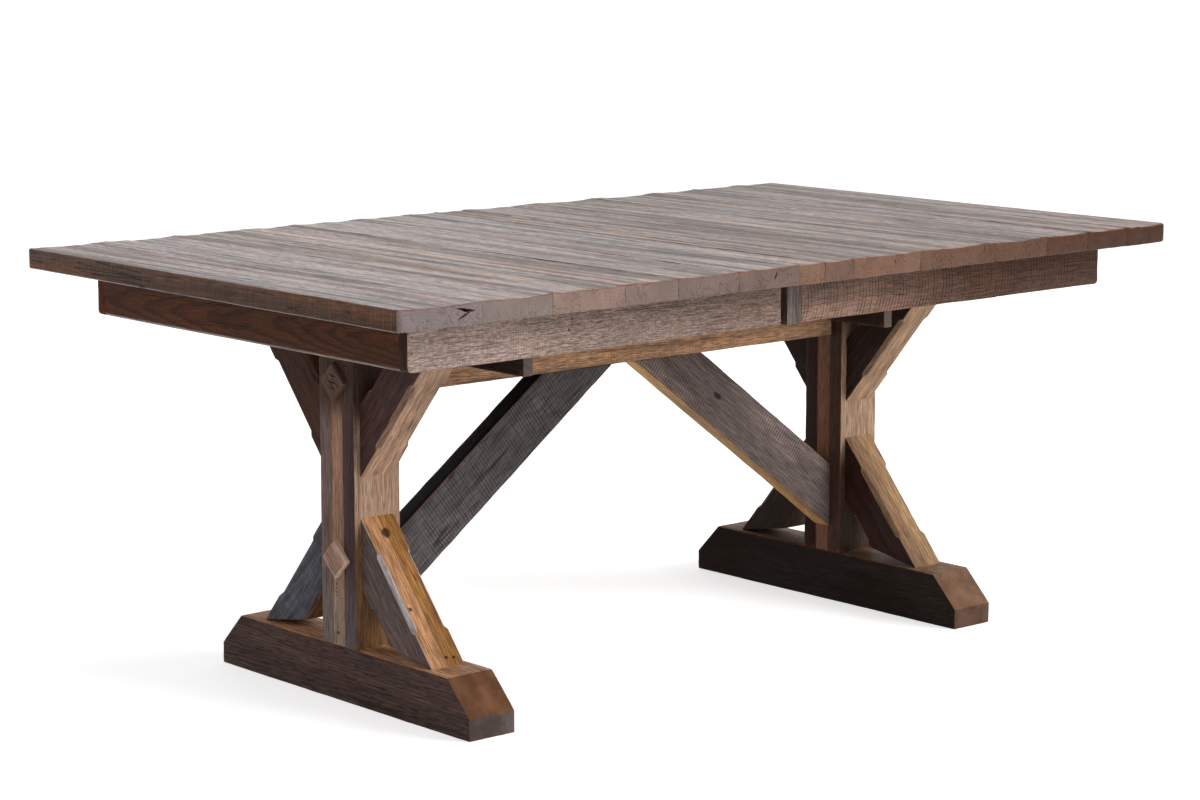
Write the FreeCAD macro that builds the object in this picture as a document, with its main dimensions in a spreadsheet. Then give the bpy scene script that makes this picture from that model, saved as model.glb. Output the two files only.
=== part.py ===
import FreeCAD, Part
import math
import os
import re

import Sketcher

# Sawbuck pedestal table.  Two timber pedestals, tied by a beam and two long diagonals,
# carry a plank top that parts at its middle on geared wooden slides.
# Millimetres.  +X runs along the table, +Z is up, and the origin is on the floor, midway.
# The near side is at -Y and the left half is at -X.

doc = FreeCAD.newDocument("sawbuck_table")

# Driving dimensions: name, value, meaning.
SIZES = [
    ("top_length", 1828.8, "closed top, end to end"),
    ("top_width", 1066.8, "top, side to side"),
    ("table_height", 762, "floor to the top's face"),
    ("plank_thickness", 36, "thickness of the top's planks"),
    ("plank_round", 5, "eased edge round the top"),
    ("plank_corner", 10, "rounded corner of the top in plan"),
    ("seam_gap", 0.6, "gap between the two closed halves"),
    ("left_plank_1", 62, "width of each left plank, from the seam outwards"),
    ("left_plank_2", 139, "left plank 2"),
    ("left_plank_3", 138, "left plank 3"),
    ("left_plank_4", 116, "left plank 4"),
    ("left_plank_5", 152, "left plank 5"),
    ("left_plank_6", 143, "left plank 6, and plank 7 takes what is left"),
    ("right_plank_1", 70, "width of each right plank, from the seam outwards"),
    ("right_plank_2", 168, "right plank 2"),
    ("right_plank_3", 165, "right plank 3"),
    ("right_plank_4", 170, "right plank 4"),
    ("right_plank_5", 115, "right plank 5"),
    ("right_plank_6", 112, "right plank 6, and plank 7 takes what is left"),
    ("end_overhang", 87, "top's end to the end apron's face"),
    ("side_overhang", 90, "top's side to the side apron's face"),
    ("apron_height", 81, "height of the aprons"),
    ("apron_thickness", 22, "thickness of the aprons"),
    ("apron_round", 9, "rounded lower outer edge at the end aprons"),
    ("apron_gap", 15, "left side aprons stop this far from the seam"),
    ("apron_block_width", 34.5, "upright block at the right aprons' inner ends"),
    ("apron_block_depth", 38, "the block's size across the table"),
    ("apron_block_drop", 2.5, "the block hangs this much below the apron"),
    ("pedestal_offset", 590, "middle of the table to each pedestal's middle"),
    ("timber", 97, "square of the posts, and width of feet and cleats"),
    ("foot_length", 711, "foot, across the table"),
    ("foot_height", 98, "foot"),
    ("foot_end_height", 38, "upright part of the foot's end"),
    ("foot_chamfer_run", 59, "length of the foot's sloping end"),
    ("cleat_height", 98, "pedestal's top cleat"),
    ("cleat_gap", 1, "cleat to the underside of the sliding top"),
    ("tenon_width", 60, "post tenon, along the table"),
    ("foot_tenon", 60, "post tenon into the foot"),
    ("cleat_tenon", 30, "post tenon into the cleat"),
    ("joint_play", 0.2, "play round a tenon"),
    ("brace_thickness", 70, "pedestal brace, along the table"),
    ("brace_width", 80, "pedestal brace, across its face"),
    ("brace_angle", 50, "pedestal brace, above level"),
    ("brace_gap", 71, "plain post between the lower and upper braces"),
    ("chamfer_leg", 8, "stopped chamfer on the brace's long edges"),
    ("chamfer_stop", 58, "plain length before an outer chamfer"),
    ("chamfer_inner_stop", 24, "plain length before an inner chamfer"),
    ("beam_thickness", 40, "beam and diagonals, across the table"),
    ("beam_height", 98, "beam between the posts"),
    ("beam_gap", 1, "beam to the underside of the cleats"),
    ("beam_tenon_thickness", 20, "beam tenon, across the table"),
    ("beam_tenon_height", 60, "beam tenon"),
    ("beam_tenon_length", 26, "beam tenon into the post"),
    ("diagonal_width", 100, "long diagonal, across its face"),
    ("diagonal_angle", 36.4, "long diagonal, above level"),
    ("diagonal_spread", 56, "gap between the diagonals' lower edges at the beam"),
    ("cross_board_offset", 437, "middle of the table to each cross board"),
    ("cross_board_thickness", 21, "cross board"),
    ("cross_board_inset", 1, "cross board's end inside the slides' outer face"),
    ("cross_board_lap", 47, "depth of the cross board's notch in the beam"),
    ("slide_offset", 230, "middle of the table to each set of slides"),
    ("slide_height", 63, "slides, underside to the top's underside"),
    ("fixed_slide_width", 30, "fixed slide"),
    ("fixed_slide_overhang", 1.5, "fixed slide's end past the cleat"),
    ("slide_top_gap", 0.5, "fixed slide to the sliding top"),
    ("moving_slide_width", 24.7, "moving slide"),
    ("slide_end_gap", 15.4, "moving slide's outer end to the end apron"),
    ("slide_overlap", 40, "moving slide past the seam when pulled right out"),
    ("slide_play", 0.3, "play between sliding faces"),
    ("groove_depth", 8, "groove in the fixed slide"),
    ("groove_height", 12, "groove in the fixed slide"),
    ("groove_level", 37, "groove above the slide's underside"),
    ("tongue_play", 1, "groove height less tongue height"),
    ("tongue_end_play", 1.3, "tongue's edge to the groove's bottom"),
    ("travel", 305, "how far each half slides out"),
    ("gear_module", 2.5, "gear teeth"),
    ("gear_teeth", 16, "teeth on the pinion"),
    ("gear_addendum", 0.8, "tooth height above the pitch line, in modules"),
    ("gear_dedendum", 1.05, "tooth depth below the pitch line, in modules"),
    ("gear_thickness", 12, "pinion and racks"),
    ("gear_level", 12, "pinion above the slide's underside"),
    ("gear_backlash", 0.3, "play between the teeth"),
    ("gear_side_play", 0.5, "play above and below the pinion"),
    ("rack_overrun", 28, "rack beyond the pinion at each limit"),
    ("rack_back", 4.9, "solid back behind the rack's teeth"),
    ("axle_radius", 4, "pinion axle"),
    ("axle_head_radius", 7, "pinion axle's head"),
    ("axle_head_height", 3, "pinion axle's head"),
    ("axle_play", 0.05, "radial play at the axle"),
    ("stop_peg_radius", 6, "peg that stops a slide at its limit"),
    ("stop_peg_length", 26, "stop peg"),
    ("stop_peg_socket", 11, "stop peg's length inside the slide"),
    ("screw_radius", 2.5, "wood screw's shank"),
    ("screw_head_radius", 4.5, "wood screw's head"),
    ("screw_head_height", 3, "wood screw's head"),
    ("screw_bite", 24, "screw's length in the wood that it pulls on"),
    ("screw_web", 18, "wood left between screw head and joint"),
    ("screw_play", 0.5, "play round a sunk screw head"),
    ("cleat_screw_web", 40, "wood under a screw head in the fixed slide"),
    ("lag_radius", 5, "lag screw's shank"),
    ("lag_length", 150, "lag screw below its head"),
    ("lag_head_radius", 9, "lag screw's hexagon head, to its corners"),
    ("lag_head_height", 7, "lag screw's head"),
    ("washer_radius", 13, "lag screw's washer"),
    ("washer_thickness", 2, "lag screw's washer"),
    ("lag_play", 0.1, "play round the lag screw"),
    ("counterbore_radius", 13.8, "counterbore under a bolt cover"),
    ("counterbore_depth", 22, "counterbore under a bolt cover"),
    ("cover_side", 48, "diamond bolt cover, along its edge"),
    ("cover_thickness", 10, "diamond bolt cover, proud of the post"),
    ("cover_bevel", 1.5, "diamond bolt cover's eased front edge"),
    ("cover_spigot", 12, "bolt cover's round plug"),
    ("cover_play", 0.2, "play round the plug"),
    ("lower_cover_drop", 22.7, "diagonal's upper corner down to the lower bolt cover's middle"),
    ("upper_cover_rise", 32, "beam's underside up to the upper bolt cover's middle"),
    ("dowel_radius", 5, "dowel across the seam"),
    ("dowel_socket", 36, "dowel's length in the right half"),
    ("dowel_reach", 13, "dowel's length into the left half"),
    ("dowel_nose", 3, "tapered end of the dowel"),
    ("dowel_nose_radius", 3.5, "tapered end of the dowel, at its tip"),
    ("dowel_play", 0.4, "radial play in the left half's holes"),
    ("dowel_end_play", 2, "play at the bottom of the left half's holes"),
    ("inner_dowel_offset", 140, "middle of the table to the inner dowels"),
    ("outer_dowel_offset", 410, "middle of the table to the outer dowels"),
]

# Places that follow from the driving dimensions: name, formula.
LAYOUT = [
    ("top_under", "table_height - plank_thickness"),
    ("half_length", "top_length / 2"),
    ("half_width", "top_width / 2"),
    ("apron_under", "top_under - apron_height"),
    ("apron_end", "half_length - end_overhang"),
    ("apron_side", "half_width - side_overhang"),
    ("block_inner", "seam_gap / 2"),
    ("block_outer", "block_inner + apron_block_width"),
    ("ply", "timber / 3"),
    ("cleat_top", "top_under - cleat_gap"),
    ("cleat_under", "cleat_top - cleat_height"),
    ("post_inner", "pedestal_offset - timber / 2"),
    ("post_outer", "pedestal_offset + timber / 2"),
    ("brace_rise", "(cleat_under - foot_height - brace_gap) / 2"),
    ("brace_length", "brace_rise / sin(brace_angle)"),
    ("brace_mitre_top", "brace_width * tan(brace_angle)"),
    ("brace_mitre_end", "brace_width / tan(brace_angle)"),
    ("beam_top", "cleat_under - beam_gap"),
    ("beam_under", "beam_top - beam_height"),
    ("diagonal_slope", "tan(diagonal_angle)"),
    ("diagonal_reach", "diagonal_spread / 2 + diagonal_width / sin(diagonal_angle)"),
    ("diagonal_low", "beam_under - diagonal_slope * (post_inner - diagonal_spread / 2)"),
    ("diagonal_high", "beam_under - diagonal_slope * (post_inner - diagonal_reach)"),
    ("lower_cover_level", "diagonal_high - lower_cover_drop"),
    ("upper_cover_level", "beam_under + upper_cover_rise"),
    ("fixed_slide_half", "post_outer + fixed_slide_overhang"),
    ("moving_slide_outer", "apron_end - apron_thickness - slide_end_gap"),
    ("moving_slide_inner", "travel + slide_overlap"),
    ("slide_under", "top_under - slide_height"),
    ("slide_half", "fixed_slide_width / 2 + slide_play + moving_slide_width"),
    ("cross_board_half", "slide_offset + slide_half - cross_board_inset"),
    ("lap_level", "beam_top - cross_board_lap"),
    ("pitch_radius", "gear_module * gear_teeth / 2"),
    ("tip_radius", "pitch_radius + gear_addendum * gear_module"),
    ("root_radius", "pitch_radius - gear_dedendum * gear_module"),
    ("rack_root", "pitch_radius + gear_dedendum * gear_module"),
    ("rack_seat", "rack_root + rack_back"),
    ("gear_bottom", "slide_under + gear_level"),
    ("screw_line", "(rack_seat + slide_half) / 2"),
    ("peg_line", "slide_half - moving_slide_width / 2"),
]


def fill(sheet_name, rows):
    """Make a sheet whose second column holds one named value per row."""
    sheet = doc.addObject("Spreadsheet::Sheet", sheet_name)
    for row, (alias, value, meaning) in enumerate(rows, start=1):
        sheet.set("A%d" % row, meaning)
        sheet.set("B%d" % row, value)
        sheet.setAlias("B%d" % row, alias)
    doc.recompute()
    return sheet


def linked(formula):
    """Put the sheet's name before every size that a formula names."""
    def owner(match):
        word = match.group(0)
        return HOLDER.get(word, "") + word
    return re.sub(r"[a-z_][a-z_0-9]*", owner, str(formula))


HOLDER = {alias: "Sizes." for alias, value, meaning in SIZES}
sizes = fill("Sizes", [(alias, str(value), meaning) for alias, value, meaning in SIZES])
HOLDER.update({alias: "Layout." for alias, formula in LAYOUT})
layout = fill("Layout", [(alias, "=" + re.sub(r"Layout\.", "", linked(formula)), "derived")
                         for alias, formula in LAYOUT])
SUB_PARTS = {}


def value(alias):
    """A size as a number, for a shape that code works out."""
    holder = sizes if HOLDER[alias] == "Sizes." else layout
    return float(getattr(holder, alias))


def bind(piece, **formulas):
    for property_name, formula in formulas.items():
        piece.setExpression(property_name, linked(formula))


def put(piece, x=0, y=0, z=0):
    """Bind a piece's place to the sheets."""
    for axis, formula in (("x", x), ("y", y), ("z", z)):
        if formula != 0:
            piece.setExpression("Placement.Base." + axis, linked(formula))
    return piece


def sub_part(name, piece):
    """Register a finished piece under the name of its node."""
    piece.Label = name
    SUB_PARTS[name] = piece
    return piece


def block(name, x, y, z, dx, dy, dz):
    """A square-edged piece from its low corner and its three sizes."""
    piece = doc.addObject("Part::Box", name)
    bind(piece, Length=dx, Width=dy, Height=dz)
    return put(piece, x, y, z)


def rod(name, radius, length, x, y, z, turn=None):
    """A round piece that runs up from its place, or along X after a turn."""
    piece = doc.addObject("Part::Cylinder", name)
    bind(piece, Radius=radius, Height=length)
    if turn is not None:
        piece.Placement = FreeCAD.Placement(FreeCAD.Vector(), turn)
    return put(piece, x, y, z)


ALONG_X = FreeCAD.Rotation(FreeCAD.Vector(0, 1, 0), 90)
AGAINST_X = FreeCAD.Rotation(FreeCAD.Vector(0, 1, 0), -90)
DOWN = FreeCAD.Rotation(FreeCAD.Vector(1, 0, 0), 180)


def group(name, pieces):
    """Several pieces kept as one, without joining them."""
    piece = doc.addObject("Part::Compound", name)
    piece.Links = pieces
    return piece


def joined(name, pieces):
    piece = doc.addObject("Part::MultiFuse", name)
    piece.Shapes = pieces
    return piece


def cut(name, base, tools):
    """A base less one tool, or less several that don't meet each other."""
    piece = doc.addObject("Part::Cut", name)
    piece.Base = base
    piece.Tool = tools[0] if len(tools) == 1 else group(name + "_tools", tools)
    return piece


ROUGH_RADIUS = 100


def section(body, name, role, corners):
    """A closed sketch on one of the body's planes.  Its corners start on a rough ring, and
    the constraints then bring each of them to its place from the sheets."""
    sketch = body.newObject("Sketcher::SketchObject", name)
    plane = [feature for feature in body.Origin.OriginFeatures if feature.Role == role][0]
    sketch.AttachmentSupport = (plane, [""])
    sketch.MapMode = "FlatFace"
    count = len(corners)
    turn = 2 * math.pi / count
    start = [FreeCAD.Vector(ROUGH_RADIUS * math.cos(turn * k), ROUGH_RADIUS * math.sin(turn * k), 0)
             for k in range(count)]
    for k in range(count):
        sketch.addGeometry(Part.LineSegment(start[k], start[(k + 1) % count]), False)
    for k in range(count):
        sketch.addConstraint(Sketcher.Constraint("Coincident", k, 2, (k + 1) % count, 1))
    for k, (across, up) in enumerate(corners):
        for kind, label, formula, now in (("DistanceX", "x%d" % k, across, start[k].x),
                                          ("DistanceY", "y%d" % k, up, start[k].y)):
            index = sketch.addConstraint(Sketcher.Constraint(kind, -1, 1, k, 1, now))
            sketch.renameConstraint(index, label)
            sketch.setExpression("Constraints." + label, linked(formula))
    return sketch


def extruded(name, role, corners, depth):
    """A body padded equally to both sides of one of its planes."""
    body = doc.addObject("PartDesign::Body", name)
    pad = body.newObject("PartDesign::Pad", name + "_pad")
    pad.Profile = section(body, name + "_section", role, corners)
    pad.SideType = "Symmetric"
    bind(pad, Length=depth)
    return body


def eased(body, name, kind, radius_name, radius, wanted):
    """Round the edges of a body that the test picks out."""
    doc.recompute()
    feature = body.newObject(kind, name)
    edges = ["Edge%d" % (k + 1) for k, edge in enumerate(body.Shape.Edges) if wanted(edge)]
    feature.Base = (feature.BaseFeature, edges)
    bind(feature, **{radius_name: radius})


def near(a, b):
    return abs(a - b) < 0.01


# Pedestals ---------------------------------------------------------------------------

def foot(side, sign):
    """A foot of heavy timber with sloping ends and a mortise for the post."""
    half = "foot_length / 2"
    slope = "(foot_length / 2 - foot_chamfer_run)"
    timber = extruded(side + "_foot_timber", "YZ_Plane", [
        ("-" + half, "0"), (half, "0"), (half, "foot_end_height"), (slope, "foot_height"),
        ("-" + slope, "foot_height"), ("-" + half, "foot_end_height")], "timber")
    put(timber, x="%d * pedestal_offset" % sign)
    mortise = block(side + "_foot_mortise",
                    "%d * pedestal_offset - tenon_width / 2 - joint_play" % sign,
                    "-ply / 2 - joint_play", "foot_height - foot_tenon - joint_play",
                    "tenon_width + 2 * joint_play", "ply + 2 * joint_play",
                    "foot_tenon + 2 * joint_play")
    sub_part(side + "_foot", cut(side + "_foot_cut", timber, [mortise]))


def post(side, sign):
    """A post glued up from three plies; the middle one is longer and makes the tenons."""
    wide = "timber / 2"
    slim = "tenon_width / 2"
    low = "foot_height - foot_tenon"
    high = "cleat_under + cleat_tenon"
    core = extruded(side + "_post_core_board", "XZ_Plane", [
        ("-" + slim, low), (slim, low), (slim, "foot_height"), (wide, "foot_height"),
        (wide, "cleat_under"), (slim, "cleat_under"), (slim, high), ("-" + slim, high),
        ("-" + slim, "cleat_under"), ("-" + wide, "cleat_under"),
        ("-" + wide, "foot_height"), ("-" + slim, "foot_height")], "ply")
    put(core, x="%d * pedestal_offset" % sign)
    mortise_start = "post_inner" if sign > 0 else "-post_inner - beam_tenon_length - joint_play"
    tools = [block(side + "_beam_mortise", mortise_start,
                   "-beam_tenon_thickness / 2 - joint_play",
                   "beam_under + (beam_height - beam_tenon_height) / 2 - joint_play",
                   "beam_tenon_length + joint_play", "beam_tenon_thickness + 2 * joint_play",
                   "beam_tenon_height + 2 * joint_play")]
    inward = AGAINST_X if sign > 0 else ALONG_X
    for place in ("lower", "upper"):
        level = place + "_cover_level"
        bore = rod("%s_%s_lag_bore" % (side, place), "lag_radius + lag_play", "timber",
                   "%d * post_outer" % sign, 0, level, inward)
        counterbore = rod("%s_%s_counterbore" % (side, place), "counterbore_radius",
                          "counterbore_depth", "%d * post_outer" % sign, 0, level, inward)
        tools.append(joined("%s_%s_stepped_bore" % (side, place), [bore, counterbore]))
    core_cut = core
    for number, tool in enumerate(tools, start=1):
        core_cut = cut("%s_post_core_cut_%d" % (side, number), core_cut, [tool])
    sub_part(side + "_post_core", core_cut)
    plies = [block("%s_post_%s_ply" % (side, name), "%d * pedestal_offset - timber / 2" % sign,
                   edge, "foot_height", "timber", "ply", "cleat_under - foot_height")
             for name, edge in (("near", "-1.5 * ply"), ("far", "0.5 * ply"))]
    sub_part(side + "_post_plies", group(side + "_post_plies_group", plies))


def cleat(side, sign):
    """The pedestal's top timber, notched for the two sets of slides."""
    half = "foot_length / 2"
    inner = "(slide_offset - slide_half - slide_play)"
    outer = "(slide_offset + slide_half + slide_play)"
    timber = extruded(side + "_cleat_timber", "YZ_Plane", [
        ("-" + half, "cleat_under"), (half, "cleat_under"), (half, "cleat_top"),
        (outer, "cleat_top"), (outer, "slide_under"), (inner, "slide_under"),
        (inner, "cleat_top"), ("-" + inner, "cleat_top"), ("-" + inner, "slide_under"),
        ("-" + outer, "slide_under"), ("-" + outer, "cleat_top"),
        ("-" + half, "cleat_top")], "timber")
    put(timber, x="%d * pedestal_offset" % sign)
    mortise = block(side + "_cleat_mortise",
                    "%d * pedestal_offset - tenon_width / 2 - joint_play" % sign,
                    "-ply / 2 - joint_play", "cleat_under - joint_play",
                    "tenon_width + 2 * joint_play", "ply + 2 * joint_play",
                    "cleat_tenon + 2 * joint_play")
    holes = [rod("%s_cleat_screw_hole_%d" % (side, y_sign + 2), "screw_radius", "screw_bite",
                 "%d * pedestal_offset" % sign, "%d * slide_offset" % y_sign,
                 "slide_under - screw_bite") for y_sign in (-1, 1)]
    sub_part(side + "_cleat", cut(side + "_cleat_cut", timber, [mortise] + holes))


def brace(name, x_sign, yaw, pitch, roll, y, z):
    """A mitred brace with stopped chamfers, shaped lying along Y and then turned to its place."""
    board = extruded(name + "_board", "YZ_Plane", [
        ("0", "0"), ("brace_length", "0"), ("brace_length - brace_mitre_end", "-brace_width"),
        ("brace_mitre_top", "-brace_width")], "brace_thickness")
    tools = []
    edges = [("outer", "0", 1, "chamfer_stop", "brace_length - chamfer_stop"),
             ("inner", "-brace_width", -1, "brace_mitre_top + chamfer_inner_stop",
              "brace_length - brace_mitre_end - chamfer_inner_stop")]
    for edge, level, up, start, end in edges:
        for hand in (-1, 1):
            tool = doc.addObject("Part::Wedge", "%s_%s_chamfer_%d" % (name, edge, hand + 2))
            depth = "chamfer_leg / sqrt(2)"
            bind(tool, Ymin="-" + depth, Ymax=depth,
                 Zmin="-2 * " + depth, Zmax="2 * " + depth,
                 Z2min="-2 * " + depth, Z2max="2 * " + depth,
                 Xmin="%s - chamfer_leg / 2" % start, Xmax="%s + chamfer_leg / 2" % end,
                 X2min="%s + chamfer_leg" % start, X2max="%s - chamfer_leg" % end)
            length_axis = FreeCAD.Vector(0, 1, 0)
            depth_axis = FreeCAD.Vector(-hand, 0, -up)
            turn = FreeCAD.Rotation(length_axis, depth_axis, FreeCAD.Vector(), "XYZ")
            tool.Placement = FreeCAD.Placement(FreeCAD.Vector(), turn)
            put(tool, x="%d * brace_thickness / 2" % hand, z=level if level != "0" else 0)
            tools.append(tool)
    piece = cut(name + "_cut", board, tools)
    place = "placement(vector(%d * pedestal_offset; %s; %s); rotation(%s; %s; %s))"
    bind(piece, Placement=place % (x_sign, y, z, yaw, pitch, roll))
    sub_part(name, piece)


def pedestal(side, sign):
    foot(side, sign)
    post(side, sign)
    cleat(side, sign)
    low = "foot_height + brace_rise"
    high = "cleat_under - brace_rise"
    brace(side + "_near_lower_brace", sign, "180", "0", "-brace_angle", "-timber / 2", low)
    brace(side + "_far_lower_brace", sign, "0", "0", "-brace_angle", "timber / 2", low)
    brace(side + "_near_upper_brace", sign, "0", "0", "180 - brace_angle", "-timber / 2", high)
    brace(side + "_far_upper_brace", sign, "0", "180", "-brace_angle", "timber / 2", high)


# Frame between the pedestals ---------------------------------------------------------

def beam():
    """The beam that ties the posts: tenoned at its ends and notched for the cross boards."""
    inner = "(cross_board_offset - cross_board_thickness / 2)"
    outer = "(cross_board_offset + cross_board_thickness / 2)"
    board = extruded("beam_board", "XZ_Plane", [
        ("-post_inner", "beam_under"), ("post_inner", "beam_under"),
        ("post_inner", "beam_top"), (outer, "beam_top"), (outer, "lap_level"),
        (inner, "lap_level"), (inner, "beam_top"), ("-" + inner, "beam_top"),
        ("-" + inner, "lap_level"), ("-" + outer, "lap_level"), ("-" + outer, "beam_top"),
        ("-post_inner", "beam_top")], "beam_thickness")
    tenons = [block(side + "_beam_tenon", start, "-beam_tenon_thickness / 2",
                    "beam_under + (beam_height - beam_tenon_height) / 2",
                    "2 * beam_tenon_length", "beam_tenon_thickness", "beam_tenon_height")
              for side, start in (("left", "-post_inner - beam_tenon_length"),
                                  ("right", "post_inner - beam_tenon_length"))]
    whole = joined("beam_with_tenons", [board] + tenons)
    holes = [rod(side + "_beam_lag_hole", "lag_radius + lag_play",
                 "counterbore_depth + lag_length - washer_thickness",
                 "%d * post_outer" % sign, 0, "upper_cover_level", turn)
             for side, sign, turn in (("left", -1, ALONG_X), ("right", 1, AGAINST_X))]
    sub_part("beam", cut("beam_cut", whole, holes))


def diagonal(side, sign):
    """A long brace in the beam's plane, from the post up to the underside of the beam."""
    board = extruded(side + "_diagonal_board", "XZ_Plane", [
        ("%d * post_inner" % sign, "diagonal_low"), ("%d * post_inner" % sign, "diagonal_high"),
        ("%d * diagonal_reach" % sign, "beam_under"),
        ("%d * diagonal_spread / 2" % sign, "beam_under")], "beam_thickness")
    hole = rod(side + "_diagonal_lag_hole", "lag_radius + lag_play",
               "counterbore_depth + lag_length - washer_thickness",
               "%d * post_outer" % sign, 0, "lower_cover_level",
               AGAINST_X if sign > 0 else ALONG_X)
    sub_part(side + "_diagonal", cut(side + "_diagonal_cut", board, [hole]))


def cross_board(side, sign):
    """A board on edge, let into the beam, that carries the slides."""
    sub_part(side + "_cross_board", block(
        side + "_cross_board_plank",
        "%d * cross_board_offset - cross_board_thickness / 2" % sign,
        "-cross_board_half", "lap_level", "cross_board_thickness",
        "2 * cross_board_half", "slide_under - lap_level"))


def corner_screws():
    """The lag screws, washers and diamond covers of the four frame joints."""
    screws = []
    washers = []
    covers = []
    for side, sign in (("left", -1), ("right", 1)):
        inward = AGAINST_X if sign > 0 else ALONG_X
        for place in ("lower", "upper"):
            name = side + "_" + place
            level = place + "_cover_level"
            seat = "%d * (post_outer - counterbore_depth)" % sign
            shoulder = "%d * (post_outer - counterbore_depth + washer_thickness)" % sign
            shank = rod(name + "_lag_shank", "lag_radius", "lag_length", shoulder, 0, level,
                        inward)
            head = doc.addObject("Part::Prism", name + "_lag_head")
            head.Polygon = 6
            bind(head, Circumradius="lag_head_radius", Height="lag_head_height")
            outward = ALONG_X if sign > 0 else AGAINST_X
            head.Placement = FreeCAD.Placement(FreeCAD.Vector(), outward)
            put(head, shoulder, 0, level)
            screws.append(joined(name + "_lag_screw", [shank, head]))
            disc = rod(name + "_washer_disc", "washer_radius", "washer_thickness", seat, 0,
                       level, outward)
            eye = rod(name + "_washer_eye", "lag_radius + lag_play", "washer_thickness", seat,
                      0, level, outward)
            washers.append(cut(name + "_washer", disc, [eye]))
            covers.append(bolt_cover(name, sign, level))
    sub_part("lag_screws", group("lag_screw_group", screws))
    sub_part("lag_washers", group("lag_washer_group", washers))
    sub_part("bolt_covers", group("bolt_cover_group", covers))


def bolt_cover(name, sign, level):
    """A square block set cornerwise over the counterbore, held by its round plug."""
    half = "cover_side / 2"
    body = extruded(name + "_cover_block", "YZ_Plane", [
        ("-" + half, "-" + half), (half, "-" + half), (half, half), ("-" + half, half)],
        "cover_thickness")
    eased(body, name + "_cover_bevel", "PartDesign::Chamfer", "Size", "cover_bevel",
          lambda edge: all(vertex.X * sign > 0 for vertex in edge.Vertexes))
    place = "placement(vector(%d * (post_outer + cover_thickness / 2); 0; %s); rotation(0; 0; 45))"
    bind(body, Placement=place % (sign, level))
    plug = rod(name + "_cover_plug", "counterbore_radius - cover_play", "cover_spigot",
               "%d * post_outer" % sign, 0, level, AGAINST_X if sign > 0 else ALONG_X)
    return joined(name + "_bolt_cover", [body, plug])


# Geared slides -----------------------------------------------------------------------

def screw(name, x, y, z, shank, downward=False):
    """A wood screw whose head's underside is at z; it runs up unless it is downward."""
    turn = DOWN if downward else None
    top = "%s - screw_head_height" % z if not downward else "%s + screw_head_height" % z
    pieces = [rod(name + "_shank", "screw_radius", shank, x, y, z, turn),
              rod(name + "_head", "screw_head_radius", "screw_head_height", x, y, top, turn)]
    return joined(name, pieces)


def fixed_slides():
    """Two grooved slides screwed to the cleats; each has a window for its pinion."""
    half = "fixed_slide_width / 2"
    deep = "(fixed_slide_width / 2 - groove_depth)"
    low = "groove_level"
    high = "(groove_level + groove_height)"
    top = "(slide_height - slide_top_gap)"
    slides = []
    screws = []
    for place, y_sign in (("near", -1), ("far", 1)):
        rail = extruded(place + "_fixed_rail", "YZ_Plane", [
            ("-" + half, "0"), (half, "0"), (half, low), (deep, low), (deep, high),
            (half, high), (half, top), ("-" + half, top), ("-" + half, high),
            ("-" + deep, high), ("-" + deep, low), ("-" + half, low)], "2 * fixed_slide_half")
        put(rail, y="%d * slide_offset" % y_sign, z="slide_under")
        middle = "%d * slide_offset" % y_sign
        window = block(place + "_pinion_window", "-tip_radius - gear_side_play",
                       middle + " - fixed_slide_width / 2", "gear_bottom - gear_side_play",
                       "2 * (tip_radius + gear_side_play)", "fixed_slide_width",
                       "gear_thickness + 2 * gear_side_play")
        axle_hole = rod(place + "_axle_hole", "axle_radius + axle_play",
                        "groove_level - joint_play", 0, middle, "slide_under")
        tools = [joined(place + "_pinion_opening", [window, axle_hole])]
        for side, x_sign in (("left", -1), ("right", 1)):
            name = "%s_%s_cleat" % (side, place)
            x = "%d * pedestal_offset" % x_sign
            head_seat = "(slide_under + cleat_screw_web)"
            hole = rod(name + "_hole", "screw_radius", "cleat_screw_web", x, middle,
                       "slide_under")
            sink = rod(name + "_sink", "screw_head_radius + screw_play", "slide_height", x,
                       middle, head_seat)
            tools.append(joined(name + "_stepped_hole", [hole, sink]))
            screws.append(screw(name + "_screw", x, middle, head_seat,
                                "cleat_screw_web + screw_bite", downward=True))
        slides.append(cut(place + "_fixed_slide", rail, tools))
    sub_part("fixed_slides", group("fixed_slide_group", slides))
    sub_part("fixed_slide_screws", group("fixed_slide_screw_group", screws))


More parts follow.
